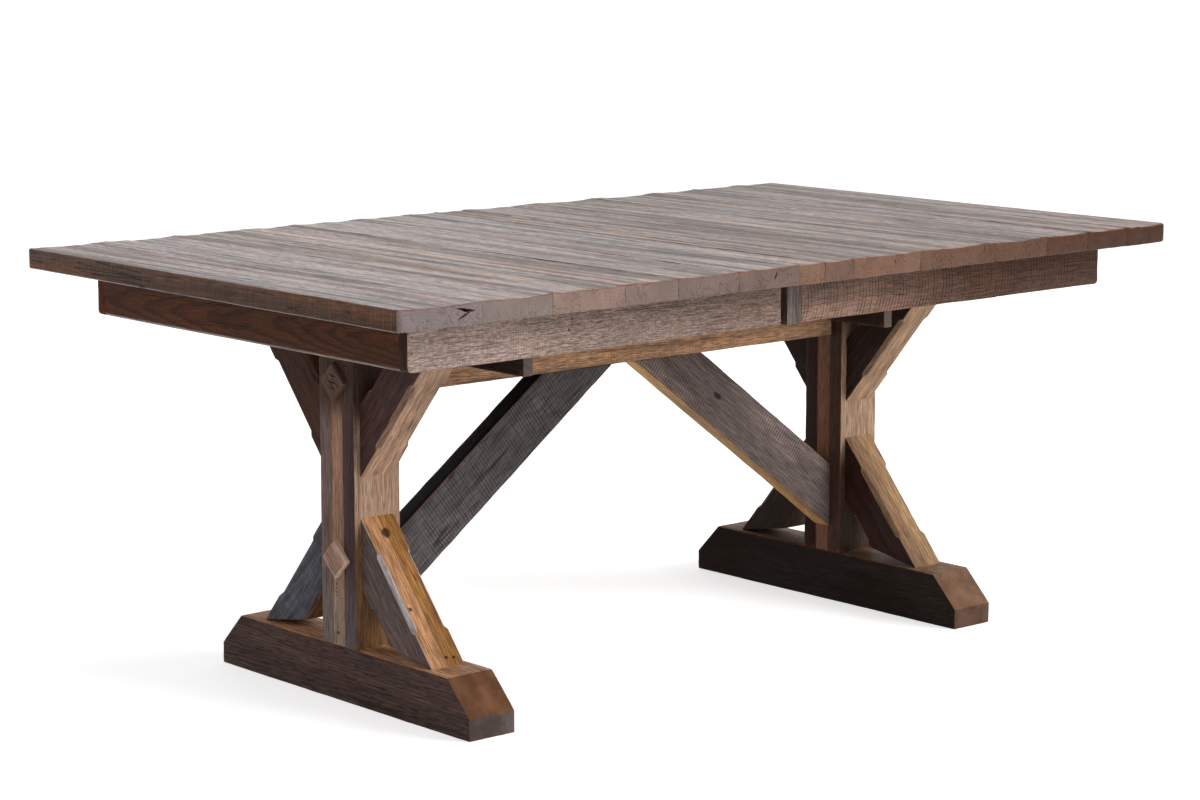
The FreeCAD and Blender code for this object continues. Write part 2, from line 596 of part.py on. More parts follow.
def moving_slide(side, place, x_sign, facing):
    """A slide under one half of the top; its tongue and rack groove face the pinion."""
    face = "%d * (fixed_slide_width / 2 + slide_play)" % -facing
    back = "%d * slide_half" % -facing
    tip = "%d * (fixed_slide_width / 2 - groove_depth + tongue_end_play)" % -facing
    seat = "%d * rack_seat" % -facing
    tongue_low = "(groove_level + tongue_play / 2)"
    tongue_high = "(groove_level + groove_height - tongue_play / 2)"
    rack_low = "(gear_level - joint_play)"
    rack_high = "(gear_level + gear_thickness + joint_play)"
    rail = extruded("%s_%s_moving_rail" % (side, place), "YZ_Plane", [
        (back, "slide_play"), (back, "slide_height"), (face, "slide_height"),
        (face, tongue_high), (tip, tongue_high), (tip, tongue_low), (face, tongue_low),
        (face, rack_high), (seat, rack_high), (seat, rack_low), (face, rack_low),
        (face, "slide_play")], "moving_slide_outer + moving_slide_inner")
    y_sign = -1 if place == "near" else 1
    middle = "%d * slide_offset" % y_sign
    put(rail, x="%d * (moving_slide_outer - moving_slide_inner) / 2" % x_sign, y=middle,
        z="slide_under")
    name = side + "_" + place
    line = "%s + %d * screw_line" % (middle, -facing)
    head_seat = "(top_under - screw_web)"
    tools = []
    for number in SCREWED_PLANKS:
        x = plank_middle(side, number)
        hole = rod("%s_slide_hole_%d" % (name, number), "screw_radius", "screw_web", x, line,
                   head_seat)
        sink = rod("%s_slide_sink_%d" % (name, number), "screw_head_radius + screw_play",
                   "slide_height - screw_web", x, line, "slide_under")
        tools.append(joined("%s_slide_stepped_hole_%d" % (name, number), [hole, sink]))
    peg_x = "%d * (cross_board_offset - cross_board_thickness / 2 - travel" % x_sign
    peg_x += " - stop_peg_radius - slide_play)"
    peg_y = "%s + %d * peg_line" % (middle, -facing)
    tools.append(rod(name + "_peg_socket", "stop_peg_radius", "stop_peg_socket - slide_play",
                     peg_x, peg_y, "slide_under + slide_play"))
    slide = cut(name + "_moving_slide", rail, tools)
    peg = rod(name + "_stop_peg", "stop_peg_radius", "stop_peg_length", peg_x, peg_y,
              "slide_under + stop_peg_socket - stop_peg_length")
    return slide, peg


def involute(angle):
    return math.tan(angle) - angle


PRESSURE_ANGLE = math.radians(20)
FLANK_SHARES = (0, 0.25, 0.5, 0.75, 1)


def pinion_outline():
    """Points round a spur gear with true involute flanks."""
    teeth = int(value("gear_teeth"))
    pitch = value("pitch_radius")
    base = pitch * math.cos(PRESSURE_ANGLE)
    thickness = (math.pi * value("gear_module") - value("gear_backlash")) / 2
    half_angle = thickness / (2 * pitch) + involute(PRESSURE_ANGLE)
    flank = [(value("root_radius"), half_angle)]
    for share in FLANK_SHARES:
        radius = base + (value("tip_radius") - base) * share
        flank.append((radius, half_angle - involute(math.acos(min(1.0, base / radius)))))
    outline = []
    for tooth in range(teeth):
        middle = 2 * math.pi * tooth / teeth
        outline += [(radius, middle - spread) for radius, spread in flank]
        outline += [(radius, middle + spread) for radius, spread in reversed(flank)]
    return [FreeCAD.Vector(radius * math.cos(angle), radius * math.sin(angle), 0)
            for radius, angle in outline]


def rack_outline(x_sign, y_sign):
    """Points round a rack along X with a space at X = 0; the signs say which way it lies."""
    pitch = math.pi * value("gear_module")
    pitch_line = value("pitch_radius")
    tip = 2 * pitch_line - value("tip_radius")
    root = value("rack_root")
    back = value("rack_seat")
    half_tooth = (pitch - value("gear_backlash")) / 4
    at_tip = half_tooth - (pitch_line - tip) * math.tan(PRESSURE_ANGLE)
    at_root = half_tooth + (root - pitch_line) * math.tan(PRESSURE_ANGLE)
    start = -value("rack_overrun")
    end = value("travel") + value("rack_overrun")
    first = math.ceil((start + at_root) / pitch - 0.5)
    last = math.floor((end - at_root) / pitch - 0.5)
    outline = [(start, root)]
    for number in range(first, last + 1):
        middle = (number + 0.5) * pitch
        outline += [(middle - at_root, root), (middle - at_tip, tip),
                    (middle + at_tip, tip), (middle + at_root, root)]
    outline += [(end, root), (end, back), (start, back)]
    return [FreeCAD.Vector(x * x_sign, y * y_sign, 0) for x, y in outline]


def toothed(name, outline):
    """A solid of the gear's thickness on an outline of teeth."""
    face = Part.Face(Part.makePolygon(outline + outline[:1]))
    piece = doc.addObject("Part::Feature", name)
    piece.Shape = face.extrude(FreeCAD.Vector(0, 0, value("gear_thickness")))
    return piece


def racks(side, x_sign, out_sign):
    """The two racks of one half; the left half's lie outside the pinions."""
    pieces = []
    for place, y_sign in (("near", -1), ("far", 1)):
        outline = rack_outline(-x_sign, y_sign * out_sign)
        rack = toothed("%s_%s_rack" % (side, place), outline)
        pieces.append(put(rack, y="%d * slide_offset" % y_sign, z="gear_bottom"))
    sub_part(side + "_racks", group(side + "_rack_group", pieces))


def pinions():
    """The two pinions and the headed pins that they turn on."""
    axles = []
    for place, y_sign in (("near", -1), ("far", 1)):
        middle = "%d * slide_offset" % y_sign
        gear = toothed(place + "_pinion_blank", pinion_outline())
        put(gear, y=middle, z="gear_bottom")
        bore = rod(place + "_pinion_bore", "axle_radius + axle_play", "gear_thickness", 0,
                   middle, "gear_bottom")
        sub_part(place + "_pinion", cut(place + "_pinion_cut", gear, [bore]))
        pin = rod(place + "_axle_pin", "axle_radius", "groove_level - 2 * joint_play", 0,
                  middle, "slide_under")
        head = rod(place + "_axle_head", "axle_head_radius", "axle_head_height", 0, middle,
                   "slide_under - axle_head_height")
        axles.append(joined(place + "_axle", [pin, head]))
    sub_part("pinion_axles", group("pinion_axle_group", axles))


# The two halves of the top -----------------------------------------------------------

PLANK_COUNT = len([alias for alias, size, meaning in SIZES if "left_plank_" in alias]) + 1
SCREWED_PLANKS = range(2, PLANK_COUNT, 2)


def plank_start(side, number):
    """Distance from the seam to a plank's inner edge, as a formula."""
    before = ["%s_plank_%d" % (side, k) for k in range(1, number)]
    return " + ".join(before) if before else "seam_gap / 2"


def plank_end(side, number):
    return "half_length" if number == PLANK_COUNT else plank_start(side, number + 1)


def plank_middle(side, number):
    sign = -1 if side == "left" else 1
    return "%d * (%s + %s) / 2" % (sign, plank_start(side, number), plank_end(side, number))


def plank(side, sign, number):
    """One plank across the top, with eased edges wherever it meets the outside."""
    name = "%s_plank_%d" % (side, number)
    inner = "%d * (%s)" % (sign, plank_start(side, number))
    outer = "%d * (%s)" % (sign, plank_end(side, number))
    body = extruded(name + "_board", "XY_Plane", [
        (inner, "-half_width"), (outer, "-half_width"), (outer, "half_width"),
        (inner, "half_width")], "plank_thickness")
    end = value("half_length")
    side_y = value("half_width")
    if number == PLANK_COUNT:
        eased(body, name + "_corners", "PartDesign::Fillet", "Radius", "plank_corner",
              lambda edge: near(abs(edge.Vertexes[0].X), end)
              and near(edge.Vertexes[0].X, edge.Vertexes[-1].X)
              and near(edge.Vertexes[0].Y, edge.Vertexes[-1].Y))
    level = value("plank_thickness") / 2
    eased(body, name + "_edges", "PartDesign::Fillet", "Radius", "plank_round",
          lambda edge: all(near(abs(vertex.Z), level) for vertex in edge.Vertexes)
          and (near(abs(edge.CenterOfMass.y), side_y) or near(abs(edge.CenterOfMass.x), end)))
    put(body, z="top_under + plank_thickness / 2")
    tools = []
    if number in SCREWED_PLANKS:
        line = "screw_line" if side == "left" else "-screw_line"
        for place, y_sign in (("near", -1), ("far", 1)):
            tools.append(rod("%s_%s_screw_hole" % (name, place), "screw_radius",
                             "screw_bite", plank_middle(side, number),
                             "%d * (slide_offset + %s)" % (y_sign, line), "top_under"))
    if number == 1:
        tools += dowel_holes(side)
    sub_part(name, cut(name + "_cut", body, tools) if tools else body)


def dowel_places():
    return [(ring, y_sign, "%d * %s_dowel_offset" % (y_sign, ring))
            for ring in ("inner", "outer") for y_sign in (-1, 1)]


def dowel_holes(side):
    """Holes in the seam edge: tight in the right half and easy in the left half."""
    level = "top_under + plank_thickness / 2"
    holes = []
    for ring, y_sign, y in dowel_places():
        name = "%s_%s_dowel_hole_%d" % (side, ring, y_sign + 2)
        if side == "right":
            holes.append(rod(name, "dowel_radius", "dowel_socket", "seam_gap / 2", y, level,
                             ALONG_X))
        else:
            holes.append(rod(name, "dowel_radius + dowel_play", "dowel_reach + dowel_end_play",
                             "-seam_gap / 2", y, level, AGAINST_X))
    return holes


def seam_dowels():
    """Dowels fixed in the right half that line up the two halves as they close."""
    level = "top_under + plank_thickness / 2"
    dowels = []
    for ring, y_sign, y in dowel_places():
        name = "%s_dowel_%d" % (ring, y_sign + 2)
        shank = rod(name + "_shank", "dowel_radius", "dowel_socket + dowel_reach - dowel_nose",
                    "seam_gap / 2 + dowel_nose - dowel_reach", y, level, ALONG_X)
        nose = doc.addObject("Part::Cone", name + "_nose")
        nose.Placement = FreeCAD.Placement(FreeCAD.Vector(), AGAINST_X)
        bind(nose, Radius1="dowel_radius", Radius2="dowel_nose_radius", Height="dowel_nose")
        put(nose, "seam_gap / 2 + dowel_nose - dowel_reach", y, level)
        dowels.append(joined(name, [shank, nose]))
    sub_part("seam_dowels", group("seam_dowel_group", dowels))


def aprons(side, sign):
    """The skirt under one half: two side aprons, and an end apron let in between them."""
    inner = "apron_gap" if side == "left" else "block_outer"
    for place, y_sign in (("near", -1), ("far", 1)):
        name = "%s_%s_apron" % (side, place)
        body = extruded(name + "_board", "XZ_Plane", [
            ("%d * %s" % (sign, inner), "0"), ("%d * apron_end" % sign, "0"),
            ("%d * apron_end" % sign, "apron_height"),
            ("%d * %s" % (sign, inner), "apron_height")], "apron_thickness")
        end = value("apron_end")
        eased(body, name + "_round", "PartDesign::Fillet", "Radius", "apron_round",
              lambda edge: all(near(abs(vertex.X), end) and near(vertex.Z, 0)
                               for vertex in edge.Vertexes))
        put(body, y="%d * (apron_side - apron_thickness / 2)" % y_sign, z="apron_under")
        sub_part(name, body)
    name = side + "_end_apron"
    body = extruded(name + "_board", "XZ_Plane", [
        ("%d * (apron_end - apron_thickness)" % sign, "0"), ("%d * apron_end" % sign, "0"),
        ("%d * apron_end" % sign, "apron_height"),
        ("%d * (apron_end - apron_thickness)" % sign, "apron_height")],
        "2 * (apron_side - apron_thickness)")
    eased(body, name + "_round", "PartDesign::Fillet", "Radius", "apron_round",
          lambda edge: all(near(abs(vertex.X), end) and near(vertex.Z, 0)
                           for vertex in edge.Vertexes))
    put(body, z="apron_under")
    sub_part(name, body)


def apron_blocks():
    """Upright blocks that close the right half's side aprons at the seam."""
    blocks = [block(place + "_apron_upright", "block_inner", start,
                    "apron_under - apron_block_drop", "apron_block_width",
                    "apron_block_depth", "apron_height + apron_block_drop")
              for place, start in (("near", "-apron_side"),
                                   ("far", "apron_side - apron_block_depth"))]
    sub_part("right_apron_blocks", group("right_apron_block_group", blocks))


def half(side, sign, out_sign):
    """One half of the top; out_sign is 1 where its slides lie outside the pinions."""
    for number in range(1, PLANK_COUNT + 1):
        plank(side, sign, number)
    aprons(side, sign)
    slides = []
    pegs = []
    screws = []
    for place, y_sign in (("near", -1), ("far", 1)):
        facing = -y_sign * out_sign
        slide, peg = moving_slide(side, place, sign, facing)
        slides.append(slide)
        pegs.append(peg)
        for number in SCREWED_PLANKS:
            screws.append(screw("%s_%s_slide_screw_%d" % (side, place, number),
                                plank_middle(side, number),
                                "%d * slide_offset + %d * screw_line" % (y_sign, -facing),
                                "(top_under - screw_web)", "screw_web + screw_bite"))
    sub_part(side + "_slides", group(side + "_slide_group", slides))
    sub_part(side + "_stop_pegs", group(side + "_stop_peg_group", pegs))
    sub_part(side + "_slide_screws", group(side + "_slide_screw_group", screws))
    racks(side, sign, out_sign)


pedestal("left", -1)
pedestal("right", 1)
beam()
diagonal("left", -1)
diagonal("right", 1)
cross_board("left", -1)
cross_board("right", 1)
corner_screws()
fixed_slides()
pinions()
half("left", -1, 1)
half("right", 1, -1)
apron_blocks()
seam_dowels()
doc.recompute()

faults = [item.Name for item in doc.Objects
          if "Invalid" in item.State or "Error" in item.State]
faults += [name for name, piece in SUB_PARTS.items()
           if piece.Shape.isNull() or not piece.Shape.isValid() or not piece.Shape.Solids]
if faults:
    raise RuntimeError("these did not build: " + ", ".join(faults))

os.makedirs("parts", exist_ok=True)
for name, piece in SUB_PARTS.items():
    piece.Shape.exportStep("parts/%s.step" % name)
print("%d sub-parts, %d solids" % (len(SUB_PARTS), sum(len(piece.Shape.Solids)
                                                       for piece in SUB_PARTS.values())))
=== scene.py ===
import math

import bmesh
import bpy
from mathutils import Euler, Matrix, Vector


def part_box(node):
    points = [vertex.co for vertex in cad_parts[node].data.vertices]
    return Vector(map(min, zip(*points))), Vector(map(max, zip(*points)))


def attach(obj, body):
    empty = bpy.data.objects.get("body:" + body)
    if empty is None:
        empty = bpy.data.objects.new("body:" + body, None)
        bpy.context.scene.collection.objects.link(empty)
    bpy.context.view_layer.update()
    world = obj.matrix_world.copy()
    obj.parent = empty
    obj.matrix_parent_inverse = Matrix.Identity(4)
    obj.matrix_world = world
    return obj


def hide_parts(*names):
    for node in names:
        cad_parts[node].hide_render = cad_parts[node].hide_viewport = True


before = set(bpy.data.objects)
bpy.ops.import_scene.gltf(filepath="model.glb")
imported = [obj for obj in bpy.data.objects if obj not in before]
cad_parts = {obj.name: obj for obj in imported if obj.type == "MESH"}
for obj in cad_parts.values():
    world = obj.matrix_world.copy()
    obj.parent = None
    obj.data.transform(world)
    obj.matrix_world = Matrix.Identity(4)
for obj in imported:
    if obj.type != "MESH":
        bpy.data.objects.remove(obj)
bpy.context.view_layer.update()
MM = 0.001


# Feet -----------------------------------------------------------------
# Each foot is one reclaimed barn timber laid across the table, its ends sawn to a slope.
# The sides keep the mill's saw marks; the top and the slopes are planed back to tan wood.

def linear(hex_colour):
    """An sRGB hex colour as linear RGBA."""
    channels = [int(hex_colour[k:k + 2], 16) / 255 for k in (1, 3, 5)]
    return [c / 12.92 if c <= 0.04045 else ((c + 0.055) / 1.055) ** 2.4 for c in channels] + [1]


def add_node(tree, kind, inputs=None, **settings):
    """Add a node: inputs gives a value or another node's socket for each input."""
    node = tree.nodes.new(kind)
    for name, setting in settings.items():
        setattr(node, name, setting)
    for key, value in (inputs or {}).items():
        if isinstance(value, bpy.types.NodeSocket):
            tree.links.new(value, node.inputs[key])
        else:
            node.inputs[key].default_value = value
    return node


def reclaimed_wood(name, centre, turn, face, edge, end, **look):
    """Reclaimed oak under a brown stain and a satin lacquer, sawn along the board.

    The board's length is its own X, its width Y and its thickness Z; centre and turn carry
    those axes onto the board. Broad faces, edges and end grain took the stain differently.
    Noise is scaled in cells to a metre, along and across the grain. Real fibres and pores are
    finer than half a millimetre, so these are drawn coarser, to show at a distance.
    """
    seed = look.get("seed", 0)
    gray = linear(look.get("gray", "#6d6763"))  # weathered wood
    dark = linear(look.get("dark", "#17110e"))  # stain lying in pores and cracks
    material = bpy.data.materials.new(name)
    material.use_nodes = True
    tree = material.node_tree
    tree.nodes.clear()
    where = add_node(tree, "ShaderNodeTexCoord")
    board = add_node(tree, "ShaderNodeMapping", {"Vector": where.outputs["Object"],
                     "Location": centre, "Rotation": turn}, vector_type="TEXTURE").outputs[0]

    def calc(operation, a, b=0.0, c=0.0):
        return add_node(tree, "ShaderNodeMath", {0: a, 1: b, 2: c},
                        operation=operation).outputs[0]

    def minus(a, b):
        return calc("SUBTRACT", a, b)

    def times(*factors):
        product = factors[0]
        for factor in factors[1:]:
            product = calc("MULTIPLY", product, factor)
        return product

    def vector_calc(operation, a, b=(0, 0, 0)):
        return add_node(tree, "ShaderNodeVectorMath", {0: a, 1: b}, operation=operation).outputs

    def vector_of(*parts):
        return add_node(tree, "ShaderNodeCombineXYZ", dict(enumerate(parts))).outputs[0]

    def stretched(vector, along, across):
        return vector_calc("MULTIPLY", vector, (along, across, across))[0]

    def cloud(vector, along, across, detail=2.0, rough=0.5):
        return add_node(tree, "ShaderNodeTexNoise", {
            "Vector": stretched(vector, along, across), "Scale": 1.0, "Detail": detail,
            "Roughness": rough}).outputs[0]

    def between(value, low, high, to_low=0.0, to_high=1.0):
        return add_node(tree, "ShaderNodeMapRange", {0: value, 1: low, 2: high, 3: to_low,
                        4: to_high}, interpolation_type="SMOOTHSTEP").outputs[0]

    def tone(noise, amount, spread=0.2):
        return between(noise, 0.5 - spread, 0.5 + spread, 1 + amount, 1 - amount)

    def mixed(share, a, b, blend="MIX"):
        return add_node(tree, "ShaderNodeMix", {0: share, 6: a, 7: b}, data_type="RGBA",
                        blend_type=blend).outputs[2]

    def toward(axis):
        """How nearly the surface faces along one of the board's own axes."""
        turned_axis = Euler(turn).to_matrix() @ Vector(axis)
        return vector_calc("DOT_PRODUCT", where.outputs["Normal"], turned_axis)[1]

    def facing(axis):
        return calc("ABSOLUTE", toward(axis))

    # The grain wanders a little over the board's length, and swings round its knots.
    position = add_node(tree, "ShaderNodeSeparateXYZ", {0: board}).outputs
    board = vector_calc("ADD", board, (3.1 * seed, 0, 0))[0]
    wander = add_node(tree, "ShaderNodeTexNoise", {"Vector": stretched(board, 1.6, 7),
                      "Scale": 1.0, "Detail": 1.0}).outputs[1]
    wander = stretched(vector_calc("SUBTRACT", wander, (0.5, 0.5, 0.5))[0], 0.0,
                       look.get("wander", 0.018))
    grain = vector_calc("ADD", board, wander)[0]
    ripple = times(minus(cloud(board, 22, 24), 0.5), look.get("ripple", 0.004))
    parts = add_node(tree, "ShaderNodeSeparateXYZ", {0: grain}).outputs
    heart = look.get("pith", (0.05, -0.09))  # the heart of the tree, off the board
    off_heart = minus(parts[1], heart[0]), minus(parts[2], heart[1])
    radius = calc("ADD", vector_calc("LENGTH", vector_of(0.0, *off_heart))[1], ripple)
    radius = calc("MULTIPLY_ADD", parts[0], look.get("taper", 0.012), radius)
    knots = []
    for along, across, girth in look.get("knots", ()):
        offset = vector_of(times(minus(position[0], along), 0.45), minus(position[1], across))
        away = calc("DIVIDE", vector_calc("LENGTH", offset)[1], girth * MM)
        radius = calc("ADD", radius, between(away, 4.0, 0.0, 0.0, 0.03))
        knots.append(between(away, 1.1, 0.6))
    rings = calc("FRACT", calc("DIVIDE", radius, look.get("ring", 3.2) * MM))
    latewood = times(between(rings, 0.3, 0.85), between(rings, 1.0, 0.88))

    fine = cloud(grain, 30, 700)
    fibre = cloud(grain, *look.get("weave", (24, 420)), 3.0, 0.62)
    streak = cloud(grain, 1.6, 46, 3.0, 0.55)
    pores = between(cloud(grain, 32, 480, 1.0), 0.60, 0.66)
    bands = look.get("bands", (3.0, 12.0))  # how finely the weathering varies
    blotch = cloud(board, *bands, 3.0, 0.6)
    split = calc("ABSOLUTE", minus(cloud(grain, 3, 80, 1.0), 0.5))
    checks = times(between(split, 0.03, 0.01), between(cloud(board, 9, 30), 0.5, 0.56))

    # The saw crossed the board, so its marks lie across the grain and bow with a round blade.
    bowed = calc("MULTIPLY_ADD", times(parts[1], parts[1]), look.get("arc", 0.0),
                 calc("MULTIPLY_ADD", cloud(board, 12, 8), 0.008, parts[0]))
    stroke = calc("DIVIDE", bowed, look.get("saw_pitch", 5.0) * MM)
    broken = vector_of(times(stroke, 0.6), times(parts[1], 14), times(parts[2], 14))
    broken = between(cloud(broken, 1, 1), *look.get("saw_break", (0.34, 0.56)))
    kerf = between(calc("ABSOLUTE", minus(calc("FRACT", stroke), 0.5)), 0.28, 0.04)

    # End grain shows the rings from their ends, crossed by fine rays from the heart.
    rays = vector_of(times(calc("ARCTAN2", *off_heart), 55), times(radius, 14), parts[2])
    rays = cloud(rays, 1, 1, rough=0.6)

    on_face = between(facing((0, 0, 1)), 0.55, 0.85)
    on_end = between(facing((1, 0, 0)), 0.35, 0.6)
    off_face, along_grain = minus(1.0, on_face), minus(1.0, on_end)
    saw = between(on_face, 0.0, 1.0, look.get("edge_saw", 0.1), look.get("saw", 0.1))
    saw = times(saw, along_grain, between(cloud(board, 7, 5), 0.35, 0.6, 0.45, 1.0))
    kerf = times(kerf, broken, saw)

    # The stain took differently on each kind of face, and along some boards it changes. Some
    # colours mixed in below are painted shade and painted highlights, not stain.
    colour = mixed(on_end, mixed(on_face, linear(edge), linear(face)), linear(end))
    if "second" in look:
        lamination = calc("GREATER_THAN", position[2], 0.0)
        colour = mixed(times(lamination, off_face), colour, linear(look["second"]))
    # The "upper" change paints shade: the posts use it for the shade under the apron.
    for change, share in (("fade", on_face), ("upper", 1.0), ("lower", off_face)):
        if change in look:
            start, finish, stain = look[change]
            share = times(between(position[0], start, finish), share)
            colour = mixed(share, colour, linear(stain))
    half_turned = (0.36, 0.46)  # two facings multiply to 0.5 at 45 degrees
    # The chamfer colour is a painted highlight: a pale tone on the facets at 45 degrees, standing
    # in for the light that they catch.
    if "chamfer" in look:
        slant = times(facing((0, 0, 1)), facing((0, 1, 0)))
        colour = mixed(between(slant, *half_turned), colour, linear(look["chamfer"]))
    if "slope" in look:
        slant = calc("MAXIMUM", times(facing((1, 0, 0)), facing((0, 1, 0))),
                     times(facing((1, 0, 0)), facing((0, 0, 1))))
        colour = mixed(between(slant, *half_turned), colour, linear(look["slope"]))
    # The rim colour goes on the arrises that face down and sideways. When pale, it is a painted
    # highlight of light from the floor. On the inner planks it is a dark brown.
    if "rim" in look:
        under = times(between(toward((0, 0, -1)), 0.25, 0.5),
                      between(facing((0, 1, 0)), 0.3, 0.6),
                      between(facing((0, 0, 1)), 0.96, 0.86))
        colour = mixed(under, colour, linear(look["rim"]))

    # Weather grayed it in patches; fibres, streaks, saw marks and end rays shade it.
    weathered = between(on_face, 0.0, 1.0, look.get("edge_weathering", 0.1),
                        look.get("weathering", 0.25))
    weathered = times(between(blotch, 0.42, 0.62), along_grain, weathered)
    colour = mixed(weathered, colour, gray)
    thread = look.get("fibre", 0.28)
    thread = between(on_face, 0.0, 1.0, look.get("edge_fibre", thread), thread)
    threads = between(fibre, 0.35, 0.65, calc("ADD", 1.0, thread), minus(1.0, thread))
    marks = minus(calc("MULTIPLY_ADD", saw, 0.35, 1.0), times(kerf, 0.9))
    shade = times(tone(streak, look.get("streak", 0.16), 0.15), threads,
                  tone(fine, 0.2, 0.14), marks, tone(blotch, look.get("blotch", 0.18)))
    ends = times(tone(rays, look.get("rays", 0.12)),
                 tone(cloud(board, 6, 24), look.get("end_blotch", 0.08)))
    shade = calc("ADD", times(shade, along_grain), times(ends, on_end))
    colour = mixed(1.0, colour, shade, "MULTIPLY")

    # Stain lies dark in the latewood, the pores, the checks, the knots and the nail holes,
    # and rubbing took it off where the attribute "worn" says so.
    late = between(on_end, 0.0, 1.0, look.get("latewood", 0.22), look.get("end_rings", 0.12))
    colour = mixed(times(latewood, late), colour, dark)
    colour = mixed(times(pores, along_grain, look.get("pores", 0.4)), colour, dark)
    colour = mixed(times(checks, along_grain, look.get("checks", 0.25)), colour, dark)
    for knot in knots:
        colour = mixed(times(knot, 0.8), colour, dark)
    for place, girth in look.get("nails", ()):
        away = vector_calc("DISTANCE", where.outputs["Object"], place)[1]
        away = calc("MULTIPLY_ADD", minus(fibre, 0.5), 1.5 * girth * MM, away)
        colour = mixed(between(away, girth * MM, 0.6 * girth * MM, 0.0, 0.85), colour, dark)
    rub = add_node(tree, "ShaderNodeAttribute", attribute_name="worn").outputs["Fac"]
    rub = times(between(rub, 0.5, 0.9), between(cloud(board, 25, 60, 3.0), 0.38, 0.56),
                look.get("wear", 0.2))
    colour = mixed(rub, colour, linear(look.get("worn", "#a5663d")))

    # Fibres stand up, and pores, checks and kerfs lie deep, as relief too fine to cut.
    height = times(calc("MULTIPLY_ADD", fibre, 0.5, times(fine, 0.15)), along_grain)
    for hollow, depth in ((pores, 0.25), (checks, 0.8), (kerf, 0.8)):
        height = minus(height, times(hollow, depth))
    bump = add_node(tree, "ShaderNodeBump", {"Height": height, "Strength": 1.0,
                    "Distance": look.get("relief", 0.8) * MM})
    roughness = look.get("roughness", 0.5)
    shine = between(fibre, 0.3, 0.7, roughness + 0.08, roughness - 0.08)
    surface = add_node(tree, "ShaderNodeBsdfPrincipled", {
        "Base Color": colour, "Roughness": shine, "Normal": bump.outputs[0],
        "Specular IOR Level": look.get("gloss", 0.05), "Coat Roughness": 0.3})
    if "lacquer" in look:
        film = between(streak, 0.38, 0.62, 1.55 * look["lacquer"], 0.4 * look["lacquer"])
        sunk = between(fibre, 0.36, 0.6, 1.35, 0.5)  # how far it sank into the fibres
        tree.links.new(times(film, on_face, sunk), surface.inputs["Coat Weight"])
    add_node(tree, "ShaderNodeOutputMaterial", {"Surface": surface.outputs[0]})
    return material


def pick(board):
    """Select one object alone and make it the active one."""
    bpy.ops.object.select_all(action="DESELECT")
    board.select_set(True)
    bpy.context.view_layer.objects.active = board


def start_board(name, size):
    """A plain squared board about the origin, its length along X, open in edit mode."""
    bpy.ops.object.select_all(action="DESELECT")
    bpy.ops.mesh.primitive_cube_add(size=1)
    board = bpy.context.object
    board.name = name
    board.data.name = name
    board.scale = size
    bpy.ops.object.transform_apply(location=False, rotation=False, scale=True)
    bpy.ops.object.mode_set(mode="EDIT")
    bpy.ops.mesh.select_mode(type="EDGE")
    return board


def pick_edges(board, wanted):
    """Select the edges whose middle and direction pass a test."""
    bpy.ops.mesh.select_all(action="DESELECT")
    mesh = bmesh.from_edit_mesh(board.data)
    for edge in mesh.edges:
        ends = [vertex.co for vertex in edge.verts]
        edge.select_set(wanted((ends[0] + ends[1]) / 2, ends[1] - ends[0]))
    bmesh.update_edit_mesh(board.data)


def every_edge(middle, run):
    """A test that any edge passes."""
    return True


def ease(board, wanted, width, segments):
    """Round over the edges that pass a test."""
    pick_edges(board, wanted)
    bpy.ops.mesh.bevel(offset=width, segments=segments, affect="EDGES", clamp_overlap=True)


def saw_end(point, normal):
    """Saw the board off along a plane; what lies on the normal's side falls away."""
    bpy.ops.mesh.select_all(action="SELECT")
    bpy.ops.mesh.bisect(plane_co=point, plane_no=normal, use_fill=True, clear_outer=True)


def cross_lines(board, cell):
    """Cut lines round the board every cell of its length, width and thickness."""
    corners = [vertex.co for vertex in bmesh.from_edit_mesh(board.data).verts]
    low = [min(corner[k] for corner in corners) for k in range(3)]
    high = [max(corner[k] for corner in corners) for k in range(3)]
    for axis in range(3):
        normal = [1.0 if k == axis else 0.0 for k in range(3)]
        count = round((high[axis] - low[axis]) / cell[axis])
        for number in range(1, count):
            point = [c * (low[axis] + (high[axis] - low[axis]) * number / count) for c in normal]
            bpy.ops.mesh.select_all(action="SELECT")
            bpy.ops.mesh.bisect(plane_co=point, plane_no=normal)


def lumps(name, size):
    """A cloudy texture that displaces a board's surface."""
    texture = bpy.data.textures.new(name, "CLOUDS")
    texture.noise_scale = size
    texture.noise_depth = 2
    return texture


WANDER = lumps("wander", 0.09)
WEAR = lumps("wear", 0.014)


def shove(board, texture, guide, strength, middle, group=""):
    """Displace the board by a texture, in millimetres."""
    push = board.modifiers.new(texture.name, "DISPLACE")
    push.texture = texture
    push.texture_coords = "OBJECT"
    push.texture_coords_object = guide
    push.strength = strength * MM
    push.mid_level = middle
    push.vertex_group = group
    bpy.ops.object.modifier_apply(modifier=push.name)


def depths(point, size):
    """How far a point lies inside each pair of a board's faces."""
    return [max(0.0, size[k] / 2 - abs(point[k])) for k in range(3)]


def texture_guide(board, place, stretch):
    """An empty that carries a texture over the board, stretched along it."""
    bpy.ops.object.empty_add(location=place)
    guide = bpy.context.object
    guide.scale = (stretch, 1, 1)
    pick(board)
    return guide


